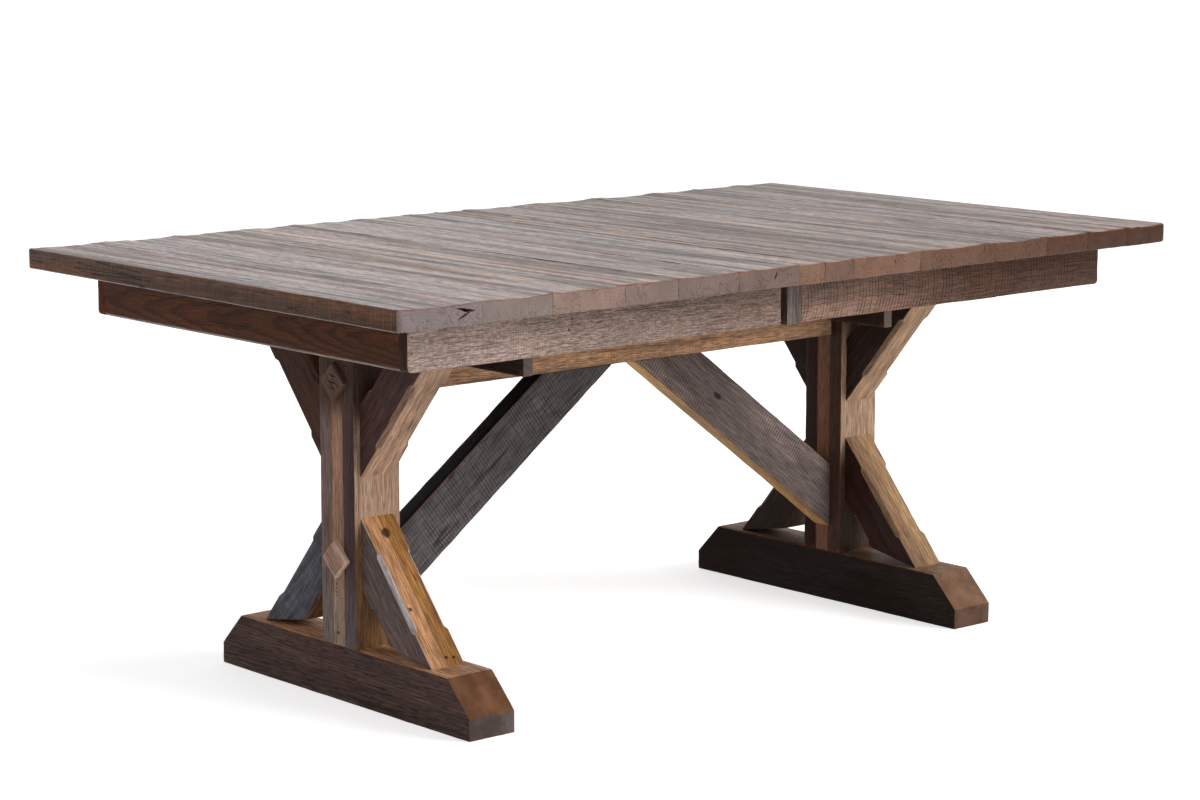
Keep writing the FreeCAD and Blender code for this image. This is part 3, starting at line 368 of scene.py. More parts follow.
def weather(board, size, wander, wear, seed, reach=4, rubbed=None):
    """Let the faces wander and wear the arrises back unevenly, in millimetres."""
    bpy.ops.object.mode_set(mode="OBJECT")
    arris = board.vertex_groups.new(name="arris")
    bareness = []
    for vertex in board.data.vertices:
        inset = sorted(depths(vertex.co, size))
        nearness = max(0.0, 1 - (inset[0] + inset[1]) / (reach * MM))
        arris.add([vertex.index], nearness, "REPLACE")
        bareness.append(nearness if rubbed is None else rubbed(vertex.co))
    board.data.attributes.new("worn", "FLOAT", "POINT").data.foreach_set("value", bareness)
    guide = texture_guide(board, (seed * 1.7, seed * 0.9, 0), 4)
    shove(board, WANDER, guide, 2 * wander, 0.5)
    shove(board, WEAR, guide, -2 * wear, 0.3, "arris")
    bpy.data.objects.remove(guide)


SMOOTH_ANGLE = math.radians(40)


def set_down(board, centre, turn):
    """Turn the board and move it to its place, with both kept in the mesh."""
    board.location = centre
    board.rotation_euler = turn
    pick(board)
    bpy.ops.object.transform_apply(location=True, rotation=True, scale=True)
    bpy.ops.object.shade_smooth_by_angle(angle=SMOOTH_ANGLE)


def dress(board, material, body, slot, *nodes):
    """Give a finished board its material and its place on the frame."""
    board.data.materials.append(material)
    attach(board, body)
    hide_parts(*nodes)


def box_of(node):
    """A node's middle and its three sizes."""
    low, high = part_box(node)
    return (low + high) / 2, high - low


ACROSS = (0, 0, math.radians(90))
FOOT_SLOPE_RUN = 59 * MM
FOOT_SLOPE_DROP = 60 * MM
FOOT_EASE = 1.6 * MM
FOOT_CELL = (11 * MM, 12 * MM, 12 * MM)
FOOT_STAINS = {
    "left_foot": {
        "face": "#d9a57c", "edge": "#5d4741", "end": "#61544f", "slope": "#77523b", "seed": 1},
    "right_foot": {
        "face": "#8f6f57", "edge": "#23160f", "end": "#644c3f", "slope": "#7e604c", "seed": 2},
}
for foot_node, stain in FOOT_STAINS.items():
    centre, size = box_of(foot_node)
    size = Vector((size.y, size.x, size.z))
    foot = start_board(foot_node + "_timber", size)
    for hand in (-1, 1):
        saw_end((hand * (size.x / 2 - FOOT_SLOPE_RUN), 0, size.z / 2),
                (hand * FOOT_SLOPE_DROP, 0, FOOT_SLOPE_RUN))
    ease(foot, every_edge, FOOT_EASE, 2)
    cross_lines(foot, FOOT_CELL)
    weather(foot, size, wander=0.7, wear=0.9, reach=6, seed=stain["seed"])
    set_down(foot, centre, ACROSS)
    wood = reclaimed_wood(
        "stained_oak_" + foot_node, centre, ACROSS, weathering=0.15, pith=(0.12, -0.07), ring=5,
        latewood=0.35, ripple=0.006, fibre=0.25, rays=0.03, end_blotch=0.3, edge_saw=0.2,
        checks=0.6, pores=0.75, **stain)
    dress(foot, wood, "base", "frame_timber", foot_node)


# Posts ----------------------------------------------------------------
# Each post is glued up from three sawn planks on edge: two plain outer plies and a longer
# core whose ends are the tenons. Every ply came from another barn board.

UPRIGHT = (math.radians(90), math.radians(-90), 0)
POST_EASE = 0.9 * MM
POST_CELL = (9 * MM, 12 * MM, 11 * MM)
# For each ply: its place, the stain on its side, its edge and its side's lowest part, its seed.
POST_PLIES = {
    "left_post": (("far", "#8a726b", "#a3897a", "#988681", 3),
                  ("core", "#bd9077", "#8a705f", "#b89e8c", 4),
                  ("near", "#523f40", "#b5957f", "#6e6064", 5)),
    "right_post": (("far", "#321b13", "#7d6350", "#321b13", 6),
                   ("core", "#85604d", "#7d6350", "#85604d", 7),
                   ("near", "#4d362c", "#b19279", "#4d362c", 8)),
}
# The "upper" colours darken the top of each post's plies: painted shade under the apron and the
# top.
POST_FADES = {
    "left_post": {"fade": (-0.02, -0.10, "#94704e"), "upper": (0.11, 0.17, "#5a443b")},
    "right_post": {"fade": (-0.02, -0.10, "#4c3b2f"), "upper": (0.15, 0.22, "#4a342a")},
}
POST_NAILS = (((-0.6385, 0.0022, 0.1205), 3.8),
              ((-0.6385, 0.0058, 0.206), 2.6), ((-0.6385, 0.0062, 0.199), 2.2),
              ((-0.6385, 0.0052, 0.192), 2.6), ((-0.6385, 0.0050, 0.186), 2.0),
              ((-0.6385, -0.030, 0.59), 2.5), ((0.6150, -0.0485, 0.46), 2.0))


def along_board(least=0.1):
    """A test for the edges that run along a board for more than a least length."""
    return lambda middle, run: abs(run.x) > least


for post, plies in POST_PLIES.items():
    middle, size = box_of(post + "_plies")
    ply = size.y / 3
    for row, (place, side_stain_and_highlight, edge_stain, low_stain, seed) in enumerate(plies):
        centre = Vector((middle.x, middle.y + (1 - row) * ply, middle.z))
        ply_size = Vector((size.z, size.x, ply))
        board = start_board("%s_%s_ply" % (post, place), ply_size)
        ease(board, along_board(), POST_EASE, 2)
        cross_lines(board, POST_CELL)
        weather(board, ply_size, wander=0.4, wear=0.8, seed=seed)
        set_down(board, centre, UPRIGHT)
        wood = reclaimed_wood(
            "stained_oak_%s_%s" % (post, place), centre, UPRIGHT, face=edge_stain,
            edge=side_stain_and_highlight, end=edge_stain, weathering=0.1, ring=4, taper=0.02, blotch=0.08,
            fibre=0.15, weave=(30, 420), wander=0.015, latewood=0.14, streak=0.08,
            pith=(0.02 * (row - 1), -0.05), nails=POST_NAILS, seed=seed,
            lower=(-0.10, -0.22, low_stain), **POST_FADES[post])
        node = post + "_core" if place == "core" else post + "_plies"
        dress(board, wood, "base", "frame_timber", node)


# Cleats ---------------------------------------------------------------
# A square timber lies on each post's tenon under the top, notched for the geared slides.
# Nobody sees its faces but from below, so it keeps its rough, dark barn surface.

def clad(node, material):
    """Put a material on one of the frame's own nodes, which keeps its shape."""
    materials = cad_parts[node].data.materials
    materials.clear()
    materials.append(material)


for node, seed in (("left_cleat", 9), ("right_cleat", 10)):
    clad(node, reclaimed_wood("rough_oak_" + node, box_of(node)[0], ACROSS, face="#54443b",
                              edge="#4b3b33", end="#7a6453", saw=0.6, saw_pitch=6,
                              weathering=0.3, seed=seed))


# Pedestal braces ------------------------------------------------------
# Eight mitred braces, each laminated from two boards, stiffen the posts. Their long arrises
# carry a chamfer that stops short of both ends, and old barn faces show on their sides.

BRACE_WIDTH = 80 * MM
BRACE_EASE = 0.8 * MM
BRACE_CELL = (7 * MM, 12 * MM, 12 * MM)
BRACE_LEG = 7 * MM  # the chamfer's leg on each face
BRACE_RUN_OUT = 18 * MM  # how far each end of it slopes out
BRACE_STOP = 58 * MM  # plain length before an outer chamfer
BRACE_INNER_STOP = 24 * MM  # and before an inner one
brace_low, brace_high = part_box("left_near_lower_brace")
brace_thickness, brace_reach, brace_rise = brace_high - brace_low
brace_angle = math.atan2(brace_rise, brace_reach)
brace_length = math.hypot(brace_rise, brace_reach)
brace_size = Vector((brace_length, BRACE_WIDTH, brace_thickness))
half_length = brace_length / 2


def carve(board, tool):
    """Cut a tool's shape out of the board, and put the tool away."""
    cut = board.modifiers.new("cut", "BOOLEAN")
    cut.operation = "DIFFERENCE"
    cut.object = tool
    pick(board)
    bpy.ops.object.modifier_apply(modifier=cut.name)
    bpy.data.objects.remove(tool)


pattern = start_board("brace_pattern", brace_size)
saw_end((-half_length, BRACE_WIDTH / 2, 0),
        (-math.sin(brace_angle), -math.cos(brace_angle), 0))
saw_end((half_length, BRACE_WIDTH / 2, 0),
        (math.cos(brace_angle), -math.sin(brace_angle), 0))
ease(pattern, along_board(BRACE_WIDTH), BRACE_EASE, 1)
bpy.ops.object.mode_set(mode="OBJECT")
inner_start = -half_length + BRACE_WIDTH * math.tan(brace_angle)
inner_end = half_length - BRACE_WIDTH / math.tan(brace_angle)
for across, start, end in ((1, BRACE_STOP - half_length, half_length - BRACE_STOP),
                           (-1, inner_start + BRACE_INNER_STOP, inner_end - BRACE_INNER_STOP)):
    for hand in (-1, 1):
        bpy.ops.mesh.primitive_cube_add(size=1, location=((start + end) / 2, 0, 0))
        tool = bpy.context.object
        depth = BRACE_LEG / math.sqrt(2)
        tool.scale = (end - start, 2 * depth, 6 * depth)
        bpy.ops.object.transform_apply(location=False, rotation=False, scale=True)
        for vertex in tool.data.vertices:
            if vertex.co.y * across < 0:
                vertex.co.x -= math.copysign(BRACE_RUN_OUT, vertex.co.x)
        tool.rotation_euler.x = across * hand * math.radians(45)
        tool.location.y = across * BRACE_WIDTH / 2
        tool.location.z = hand * brace_thickness / 2
        carve(pattern, tool)
pick(pattern)
bpy.ops.object.mode_set(mode="EDIT")
cross_lines(pattern, BRACE_CELL)
bpy.ops.object.mode_set(mode="OBJECT")

BRACE_NAILS = (((-0.586, -0.2291, 0.1118), 3.8), ((-0.571, -0.2306, 0.1100), 3.8),
               ((-0.589, -0.0700, 0.3010), 11), ((-0.612, -0.1660, 0.1870), 4))
BRACE_STAINS_AND_PAINTED_LIGHT = {
    # Its pale chamfer colour is a painted highlight on the lit chamfer facets.
    "left_near_lower_brace": {
        "face": "#75635f", "edge": "#a37343", "second": "#cc976c", "chamfer": "#dccdcd",
        "nails": BRACE_NAILS, "seed": 11},
    "left_far_lower_brace": {
        "face": "#5a5a62", "edge": "#8f6a45", "saw": 0.7, "checks": 0.7, "seed": 12},
    "left_near_upper_brace": {"face": "#5b3e39", "edge": "#cfa78b", "seed": 13},
    "left_far_upper_brace": {"face": "#533428", "edge": "#7c6352", "seed": 14},
    "right_near_lower_brace": {
        "face": "#36201a", "edge": "#a0805f", "second": "#8d6f55", "seed": 15},
    "right_far_lower_brace": {"face": "#33251f", "edge": "#6d5645", "seed": 16},
    # Its near-black face colour is painted shade under the top.
    "right_near_upper_brace": {"face": "#33241d", "edge": "#c9a280", "seed": 17},
    "right_far_upper_brace": {"face": "#2f211b", "edge": "#6d5645", "seed": 18},
}
for node, stain in BRACE_STAINS_AND_PAINTED_LIGHT.items():
    middle, size = box_of(node)
    out = -1 if "near" in node else 1
    up = -1 if "lower" in node else 1
    along = Vector((0, out * size.y, up * size.z)).normalized()
    outward = Vector((0, out * size.z, -up * size.y)).normalized()
    axes = Matrix((along, outward, along.cross(outward))).transposed()
    turn = axes.to_euler()
    centre = middle - outward * BRACE_WIDTH / 2
    brace = pattern.copy()
    brace.data = pattern.data.copy()
    brace.name = node + "_timber"
    brace.data.name = node + "_timber"
    bpy.context.collection.objects.link(brace)
    pick(brace)
    weather(brace, brace_size, wander=0.5, wear=0.8, seed=stain["seed"])
    set_down(brace, centre, turn)
    wood = reclaimed_wood(
        "stained_oak_" + node, centre, turn, end="#8a6a50", saw_pitch=4, weathering=0.12,
        pith=(0.03, 0.05), **stain)
    dress(brace, wood, "base", "frame_timber", node)
bpy.data.objects.remove(pattern)


# Beam, diagonals and cross boards -------------------------------------
# One board on edge ties the posts under the top, and two long diagonals run up to it from
# the posts' feet. Two short boards on edge are let into it and carry the slides.

ON_EDGE = (math.radians(90), 0, 0)
BEAM_EASE = 1.2 * MM
BEAM_CELL = (12 * MM, 12 * MM, 10 * MM)
beam_centre, beam_size = box_of("beam")
post_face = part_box("left_post_plies")[1].x
beam_box = Vector((-2 * post_face, beam_size.z, beam_size.y))
beam = start_board("beam_board", beam_box)
ease(beam, along_board(), BEAM_EASE, 2)
cross_lines(beam, BEAM_CELL)
weather(beam, beam_box, wander=0.8, wear=1.0, reach=5, seed=20)
set_down(beam, beam_centre, ON_EDGE)
wood = reclaimed_wood(
    "stained_oak_beam", beam_centre, ON_EDGE, face="#c89b78", edge="#6d5038", end="#7a6453",
    saw=0.22, saw_pitch=7, weathering=0.2, gray="#86796f", fibre=0.24, pith=(0.03, 0.06),
    weave=(60, 330), fade=(-0.42, -0.45, "#b3a7a6"), seed=20)
dress(beam, wood, "base", "frame_timber", "beam")

DIAGONAL_WIDTH = 100 * MM
DIAGONAL_ANGLE = math.radians(36.4)
DIAGONAL_BLANK = 780 * MM  # a board before its ends are sawn
DIAGONAL_MIDDLE = 310 * MM  # its middle, from the corner at the beam
DIAGONAL_EASE = 1.2 * MM
DIAGONAL_CELL = (11 * MM, 12 * MM, 10 * MM)
DIAGONAL_STAINS = {
    "left_diagonal": {
        # The near-black edge colour is painted shadow, standing in for the upper edge in the
        # shade of the top. The lower edge shares it.
        "face": "#5f5959", "edge": "#171412", "checks": 0.6, "fibre": 0.22, "seed": 21},
    "right_diagonal": {
        "face": "#84746f", "edge": "#cf9f69", "saw_break": (0.12, 0.34), "fibre": 0.18,
        "knots": ((-0.09, 0.004, 6),), "seed": 22},
}
for node, stain in DIAGONAL_STAINS.items():
    low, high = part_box(node)
    hand = -1 if node.startswith("left") else 1
    outer_x, inner_x = (low.x, high.x) if hand < 0 else (high.x, low.x)
    along = Vector((hand * math.cos(DIAGONAL_ANGLE), 0, -math.sin(DIAGONAL_ANGLE)))
    normal = Vector((hand * math.sin(DIAGONAL_ANGLE), 0, math.cos(DIAGONAL_ANGLE)))
    corner = Vector((inner_x, 0, high.z))
    board_size = Vector((DIAGONAL_BLANK, DIAGONAL_WIDTH, high.y - low.y))
    centre = corner + along * DIAGONAL_MIDDLE + normal * DIAGONAL_WIDTH / 2
    axes = Matrix((along, normal, along.cross(normal))).transposed()
    turn = axes.to_euler()
    back = axes.transposed()
    board = start_board(node + "_board", board_size)
    saw_end(back @ (Vector((outer_x, 0, 0)) - centre), back @ Vector((hand, 0, 0)))
    saw_end(back @ (Vector((0, 0, high.z)) - centre), back @ Vector((0, 0, 1)))
    ease(board, along_board(2 * DIAGONAL_WIDTH), DIAGONAL_EASE, 2)
    cross_lines(board, DIAGONAL_CELL)
    weather(board, board_size, wander=0.8, wear=1.2, reach=5, seed=stain["seed"])
    set_down(board, centre, turn)
    wood = reclaimed_wood(
        "rough_oak_" + node, centre, turn, end="#5f4a3a", saw=0.75, saw_pitch=6.5, ring=5,
        weathering=0.2, gray="#55504f", relief=1.2, pith=(0.02, 0.05), streak=0.08, latewood=0.12,
        pores=0.3, **stain)
    dress(board, wood, "base", "frame_timber", node)

END_ON = (math.radians(90), 0, math.radians(90))
CROSS_BOARD_EASE = 0.8 * MM
CROSS_BOARD_CELL = (14 * MM, 14 * MM, 10 * MM)
for node, seed in (("left_cross_board", 23), ("right_cross_board", 24)):
    centre, size = box_of(node)
    board_size = Vector((size.y, size.z, size.x))
    board = start_board(node + "_plank", board_size)
    ease(board, every_edge, CROSS_BOARD_EASE, 2)
    cross_lines(board, CROSS_BOARD_CELL)
    weather(board, board_size, wander=0.4, wear=0.8, seed=seed)
    set_down(board, centre, END_ON)
    # The dark brown on the broad faces is painted shade from beneath the top.
    wood = reclaimed_wood(
        "rough_oak_" + node, centre, END_ON, face="#30241e", edge="#4d3c33", end="#85756d",
        saw=0.5, weathering=0.15, seed=seed)
    dress(board, wood, "base", "frame_timber", node)


# Bolt covers ----------------------------------------------------------
# Four square blocks, set cornerwise over the lag screws' counterbores, are split from old
# boards; each front edge is eased and end grain shows on two of its sides.

COVER_SIDE = 48 * MM
COVER_PROUD = 10 * MM
COVER_EASE = 1.8 * MM
COVER_CELL = (4 * MM, 4 * MM, 4 * MM)
COVER_TURN = (math.radians(45), 0, 0)
COVER_CRACK_WIDTH = 3.5 * MM
COVER_CRACK_DEPTH = 5 * MM
cover_low, cover_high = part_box("bolt_covers")
half_diagonal = COVER_SIDE / math.sqrt(2)
# The left lower cover's near-white side colour is partly stain and partly a painted highlight of
# its lit sides. It also colours that cover's rubbed edges.
COVERS = (("left_lower", -1, cover_low.z + half_diagonal, "#c29a88", "#ffe0c2", 25),
          ("left_upper", -1, cover_high.z - half_diagonal, "#6d564a", "#75594a", 26),
          ("right_lower", 1, cover_low.z + half_diagonal, "#7a6252", "#9a7654", 27),
          ("right_upper", 1, cover_high.z - half_diagonal, "#6e5546", "#8a6a4e", 28))
# Each crack in a cover runs from one point to another, given across it and up from its middle.
COVER_CRACKS = {
    "left_upper": (((-0.017, 0.008), (0.012, 0.014)), ((-0.022, -0.004), (0.018, 0.002)),
                   ((-0.014, -0.013), (0.010, -0.009)), ((-0.006, -0.022), (0.003, 0.022))),
    "right_upper": (((-0.010, 0.014), (0.016, 0.005)),),
}
slant = math.sqrt(0.5)
cover_axes = Matrix(((0, slant, slant), (0, -slant, slant), (1, 0, 0))).transposed().to_euler()


WEDGE_PROUD = 0.1  # how much of a wedge stays outside the face that it splits


def open_crack(board, start, end, inward, width, depth):
    """Split a face from start to end with a wedge that narrows to both ends, in metres."""
    bpy.ops.object.select_all(action="DESELECT")
    bpy.ops.mesh.primitive_cone_add(vertices=4, radius1=1, radius2=0, depth=1,
                                    location=(0, 0, 0.5 - WEDGE_PROUD))
    bpy.ops.object.transform_apply(location=True, rotation=True, scale=True)
    wedge = bpy.context.object
    start, end, inward = Vector(start), Vector(end), Vector(inward)
    run = (end - start) / 2
    across = inward.cross(run).normalized() * width / 2
    axes = Matrix((run, across, inward * depth)).transposed()
    wedge.matrix_world = Matrix.Translation((start + end) / 2) @ axes.to_4x4()
    carve(board, wedge)
    bpy.ops.object.shade_smooth_by_angle(angle=SMOOTH_ANGLE)


for place, hand, level, stain, side_stain_and_highlight, seed in COVERS:
    outer = cover_high.x if hand > 0 else cover_low.x
    centre = Vector((outer - hand * COVER_PROUD / 2, 0, level))
    block_size = Vector((COVER_PROUD, COVER_SIDE, COVER_SIDE))
    cover = start_board(place + "_bolt_cover", block_size)
    ease(cover, lambda middle, run: middle.x * hand > 0 and abs(run.x) < 0.1 * MM,
         COVER_EASE, 3)
    cross_lines(cover, COVER_CELL)
    weather(cover, block_size, wander=0.4, wear=1.0, reach=5, seed=seed)
    set_down(cover, centre, COVER_TURN)
    cracked = place in COVER_CRACKS
    wood = reclaimed_wood(
        "split_oak_%s_cover" % place, centre, cover_axes, face=stain, edge=side_stain_and_highlight,
        end=side_stain_and_highlight, saw=0.15, saw_pitch=7, weathering=0.1, checks=0.9 if cracked else 0.15,
        latewood=0.22 if cracked else 0.1, ring=3.5, pith=(0.01, 0.03), wear=0.9, worn=side_stain_and_highlight,
        seed=seed)
    for start, end in COVER_CRACKS.get(place, ()):
        open_crack(cover, (outer, start[0], level + start[1]), (outer, end[0], level + end[1]),
                   (-hand, 0, 0), COVER_CRACK_WIDTH, COVER_CRACK_DEPTH)
    dress(cover, wood, "base", "frame_timber", "bolt_covers")


# Geared slides --------------------------------------------------------
# Under the top, grooved maple slides run past each other, and a wooden pinion in each fixed
# slide meshes with the racks beside it. They are moulded, planed and waxed, never stained.

def waxed_maple(name, centre, turn, seed):
    """Planed hard maple under wax: pale, close and even, with faint rings and fine flecks."""
    return reclaimed_wood(
        name, centre, turn, face="#bb9c7c", edge="#b2926f", end="#9c7f62", saw=0.06,
        weathering=0.08, gray="#a79279", dark="#6f5238", ring=3, latewood=0.22, pores=0.18,
        wear=0, relief=0.2, roughness=0.42, seed=seed)


LENGTHWISE = (0, 0, 0)
ON_END = (0, math.radians(90), 0)
MAPLE = ((30, LENGTHWISE, ("fixed_slides", "left_slides", "right_slides", "left_racks",
                           "right_racks", "near_pinion", "far_pinion", "seam_dowels")),
         (40, ON_END, ("left_stop_pegs", "right_stop_pegs")))
for first_seed, turn, nodes in MAPLE:
    for seed, node in enumerate(nodes, start=first_seed):
        clad(node, waxed_maple("waxed_maple_" + node, box_of(node)[0], turn, seed))


# Screws, washers and axles --------------------------------------------
# The screws, the washers and the pinions' axles are turned from mild steel. A thin coat of
# zinc gives them a soft, faintly blotched gray.

def zinc_steel(name):
    """Mild steel, turned and zinc-plated: fine rings from the tool under a cloudy coat."""
    material = bpy.data.materials.new(name)
    material.use_nodes = True
    tree = material.node_tree
    tree.nodes.clear()
    where = add_node(tree, "ShaderNodeTexCoord").outputs["Object"]
    cloudy = add_node(tree, "ShaderNodeTexNoise", {"Vector": where, "Scale": 160.0,
                      "Detail": 4.0}).outputs[0]
    tooling = add_node(tree, "ShaderNodeTexWave", {"Vector": where, "Scale": 900.0,
                       "Distortion": 0.6}, wave_type="BANDS", bands_direction="Z").outputs[1]
    colour = add_node(tree, "ShaderNodeMix", {0: cloudy, 6: linear("#8d8f93"),
                      7: linear("#b4b5b6")}, data_type="RGBA").outputs[2]
    roughness = add_node(tree, "ShaderNodeMapRange", {0: cloudy, 1: 0.3, 2: 0.7, 3: 0.28,
                         4: 0.45}).outputs[0]
    bump = add_node(tree, "ShaderNodeBump", {"Height": tooling, "Strength": 0.15,
                    "Distance": 0.1 * MM}).outputs[0]
    surface = add_node(tree, "ShaderNodeBsdfPrincipled", {"Base Color": colour, "Metallic": 1.0,
                       "Roughness": roughness, "Normal": bump})
    add_node(tree, "ShaderNodeOutputMaterial", {"Surface": surface.outputs[0]})
    return material


zinc = zinc_steel("zinc_plated_steel")
for node in ("lag_screws", "lag_washers", "pinion_axles", "fixed_slide_screws",
             "left_slide_screws", "right_slide_screws"):
    clad(node, zinc)


# Top planks -----------------------------------------------------------
# Fourteen reclaimed planks lie across the table, seven to each half. Years of drying left
# each of them dished, so the top is a soft washboard with its joints as the ridges.

# For each plank from the seam outwards: its top's stain, its end's, and how deep it is dished.
PLANK_TONES = {
    "left": (("#7f6155", "#846352", 1.2), ("#7f5f51", "#766259", 0.9),
             ("#856558", "#7d6a63", 1.4), ("#966c55", "#847068", 0.8),
             ("#8d6a55", "#937a6f", 1.1), ("#81665d", "#897973", 1.5),
             ("#8a6e67", "#897b7a", 1.3)),
    "right": (("#876a59", "#75584b", 0.8), ("#7f6254", "#7a5b4b", 1.4),
              ("#826756", "#6b4e3f", 1.0), ("#7a5f51", "#604435", 1.5),
              ("#7a5f54", "#523528", 1.1), ("#7c6154", "#4a2f21", 0.9),
              ("#795b4d", "#442b1e", 1.0)),
}
PLANK_CELL = (11 * MM, 5 * MM, 9 * MM)
PLANKS_TO_A_SIDE = 7
END_EASE = 2.0 * MM
JOINT_EASE = 1.2 * MM
CORNER_ROUND = 10 * MM
RIM_ROUND = {"left": 3 * MM, "right": 5 * MM}
RIM_REACH = 9 * MM
LACQUER = {"left": 0.56, "right": 0.42}
DOWN = (0, 0, -1)
AWAY = (0, 1, 0)
INWARD = (1, 0, 0)
# Each crack runs from one point to another: where, which way in, how wide and how deep.
PLANK_CRACKS = {
    "left_plank_7": (
        ((-0.806, -0.5334, 0.7555), (-0.766, -0.5334, 0.7470), AWAY, 5.5, 18),
        ((-0.804, -0.5334, 0.7340), (-0.768, -0.5334, 0.7500), AWAY, 5.0, 16),
        ((-0.791, -0.5334, 0.7490), (-0.762, -0.5334, 0.7485), AWAY, 7.0, 18),
        ((-0.9144, -0.3085, 0.738), (-0.9144, -0.3035, 0.738), INWARD, 5, 9),
        ((-0.9144, -0.3965, 0.741), (-0.9144, -0.3915, 0.741), INWARD, 5, 9)),
    "left_plank_2": (
        ((-0.069, -0.355, 0.7600), (-0.082, -0.525, 0.7600), DOWN, 8.0, 9),
        ((-0.113, -0.5334, 0.758), (-0.121, -0.5334, 0.738), AWAY, 3.6, 12)),
    "left_plank_4": (((-0.40, 0.10, 0.7605), (-0.404, 0.21, 0.7605), DOWN, 3.5, 6),),
    "right_plank_2": (((0.170, -0.5334, 0.754), (0.176, -0.5334, 0.742), AWAY, 2.4, 8),),
    "right_plank_3": (((0.34, 0.22, 0.7605), (0.343, 0.33, 0.7605), DOWN, 4.0, 6),),
    "right_plank_5": (((0.60, -0.22, 0.7605), (0.602, -0.09, 0.7605), DOWN, 3.5, 6),),
}


def grid_lines(board, size, cell):
    """Cut even lines over a squared board by dividing its edges, up to a hundred times."""
    for axis in range(3):
        pick_edges(board, lambda middle, run: abs(run[axis]) > 0.7 * size[axis])
        bpy.ops.mesh.subdivide(number_cuts=min(100, round(size[axis] / cell[axis])))


def dish(board, size, depth, furrow, seed):
    """Sink a plank's upper face between its joints, and plough long furrows along it."""
    bowl = board.vertex_groups.new(name="bowl")
    crown = board.vertex_groups.new(name="crown")
    for vertex in board.data.vertices:
        if vertex.co.z > 0.4 * size.z:
            across = min(1.0, abs(2 * vertex.co.y / size.y))
            bowl.add([vertex.index], (1 - across ** 2) ** 1.5, "REPLACE")
            crown.add([vertex.index], 1 - across ** 8, "REPLACE")
    sink = board.modifiers.new("bowl", "DISPLACE")
    sink.direction = "Z"
    sink.mid_level = 0
    sink.strength = -depth * MM
    sink.vertex_group = "bowl"
    bpy.ops.object.modifier_apply(modifier=sink.name)
    guide = texture_guide(board, (seed * 2.3, seed * 0.37, 0), 22)
    shove(board, FURROW, guide, furrow, 0.75, "crown")
    bpy.data.objects.remove(guide)


def rim_wear(size, bare_side):
    """Bare wood shows along the top's outer arris, and on one side of an end or seam plank."""
    def wear(point):
        inset = depths(point, size)
        across = inset[1] if point.y * bare_side > 0 else 1.0
        return max(0.0, 1 - (inset[2] + min(inset[0], across)) / RIM_REACH) * (point.z > 0)
    return wear


FURROW = lumps("furrow", 0.045)
FURROW_DEPTH = 4.5
for side, hand in (("left", -1), ("right", 1)):
    for number, (top_stain, end_stain, sag) in enumerate(PLANK_TONES[side], start=1):
        node = "%s_plank_%d" % (side, number)
        seed = 50 + number + (10 if hand > 0 else 0)
        centre, size = box_of(node)
        plank_size = Vector((size.y, size.x, size.z))
        plank = start_board(node + "_board", plank_size)
        outer = -hand * plank_size.y / 2
        if number == PLANKS_TO_A_SIDE:
            # The pale rim colour is a painted highlight from the floor along this plank's lower
            # arrises.
            bare_side, rim = outer, "#b3a49d"
            ease(plank, lambda middle, run: abs(run.z) > 0.01 and middle.y * outer > 0,
                 CORNER_ROUND, 6)
            ease(plank, lambda middle, run: abs(run.z) < MM
                 and abs(middle.y - outer) < CORNER_ROUND, RIM_ROUND[side], 4)
            cross_lines(plank, PLANK_CELL)
        else:
            # The inner planks' rim colour darkens their lower joint arrises.
            bare_side, rim = -outer if number == 1 else 0, "#4a3a30"
            ease(plank, lambda middle, run: abs(run.y) > 0.01, END_EASE, 3)
            ease(plank, along_board(), JOINT_EASE, 1)
            grid_lines(plank, plank_size, PLANK_CELL)
        weather(plank, plank_size, wander=0.5, wear=0.9, reach=5, seed=seed,
                rubbed=rim_wear(plank_size, bare_side))
        dish(plank, plank_size, sag, FURROW_DEPTH, seed)
        set_down(plank, centre, ACROSS)
        wood = reclaimed_wood(
            "lacquered_oak_" + node, centre, ACROSS, face=top_stain, edge="#62402b",
            end=end_stain, saw=0.3, edge_saw=0.8, weathering=0.5, gray="#6b5f60", bands=(1.1, 26),
            ring=6, taper=0.03, pith=(0.04 * math.sin(seed), -0.07), roughness=0.42, gloss=0.12,
            wear=0.85, worn="#8c5639", lacquer=LACQUER[side], relief=2.0, fibre=0.5,
            edge_fibre=0.12, weave=(40, 380), blotch=0.2, streak=0.36, checks=0.9, end_rings=0.08,
            edge_weathering=0.22, rim=rim, seed=seed)
        for start, end, inward, width, reach in PLANK_CRACKS.get(node, ()):
            open_crack(plank, start, end, inward, width * MM, reach * MM)
        dress(plank, wood, side + "_top", "top_planks", node)


# Aprons ---------------------------------------------------------------
# Boards on edge hide the slides: one across each end, let in between two long side boards.
# Their lower outer edges are rounded, and each was sawn by another mill.

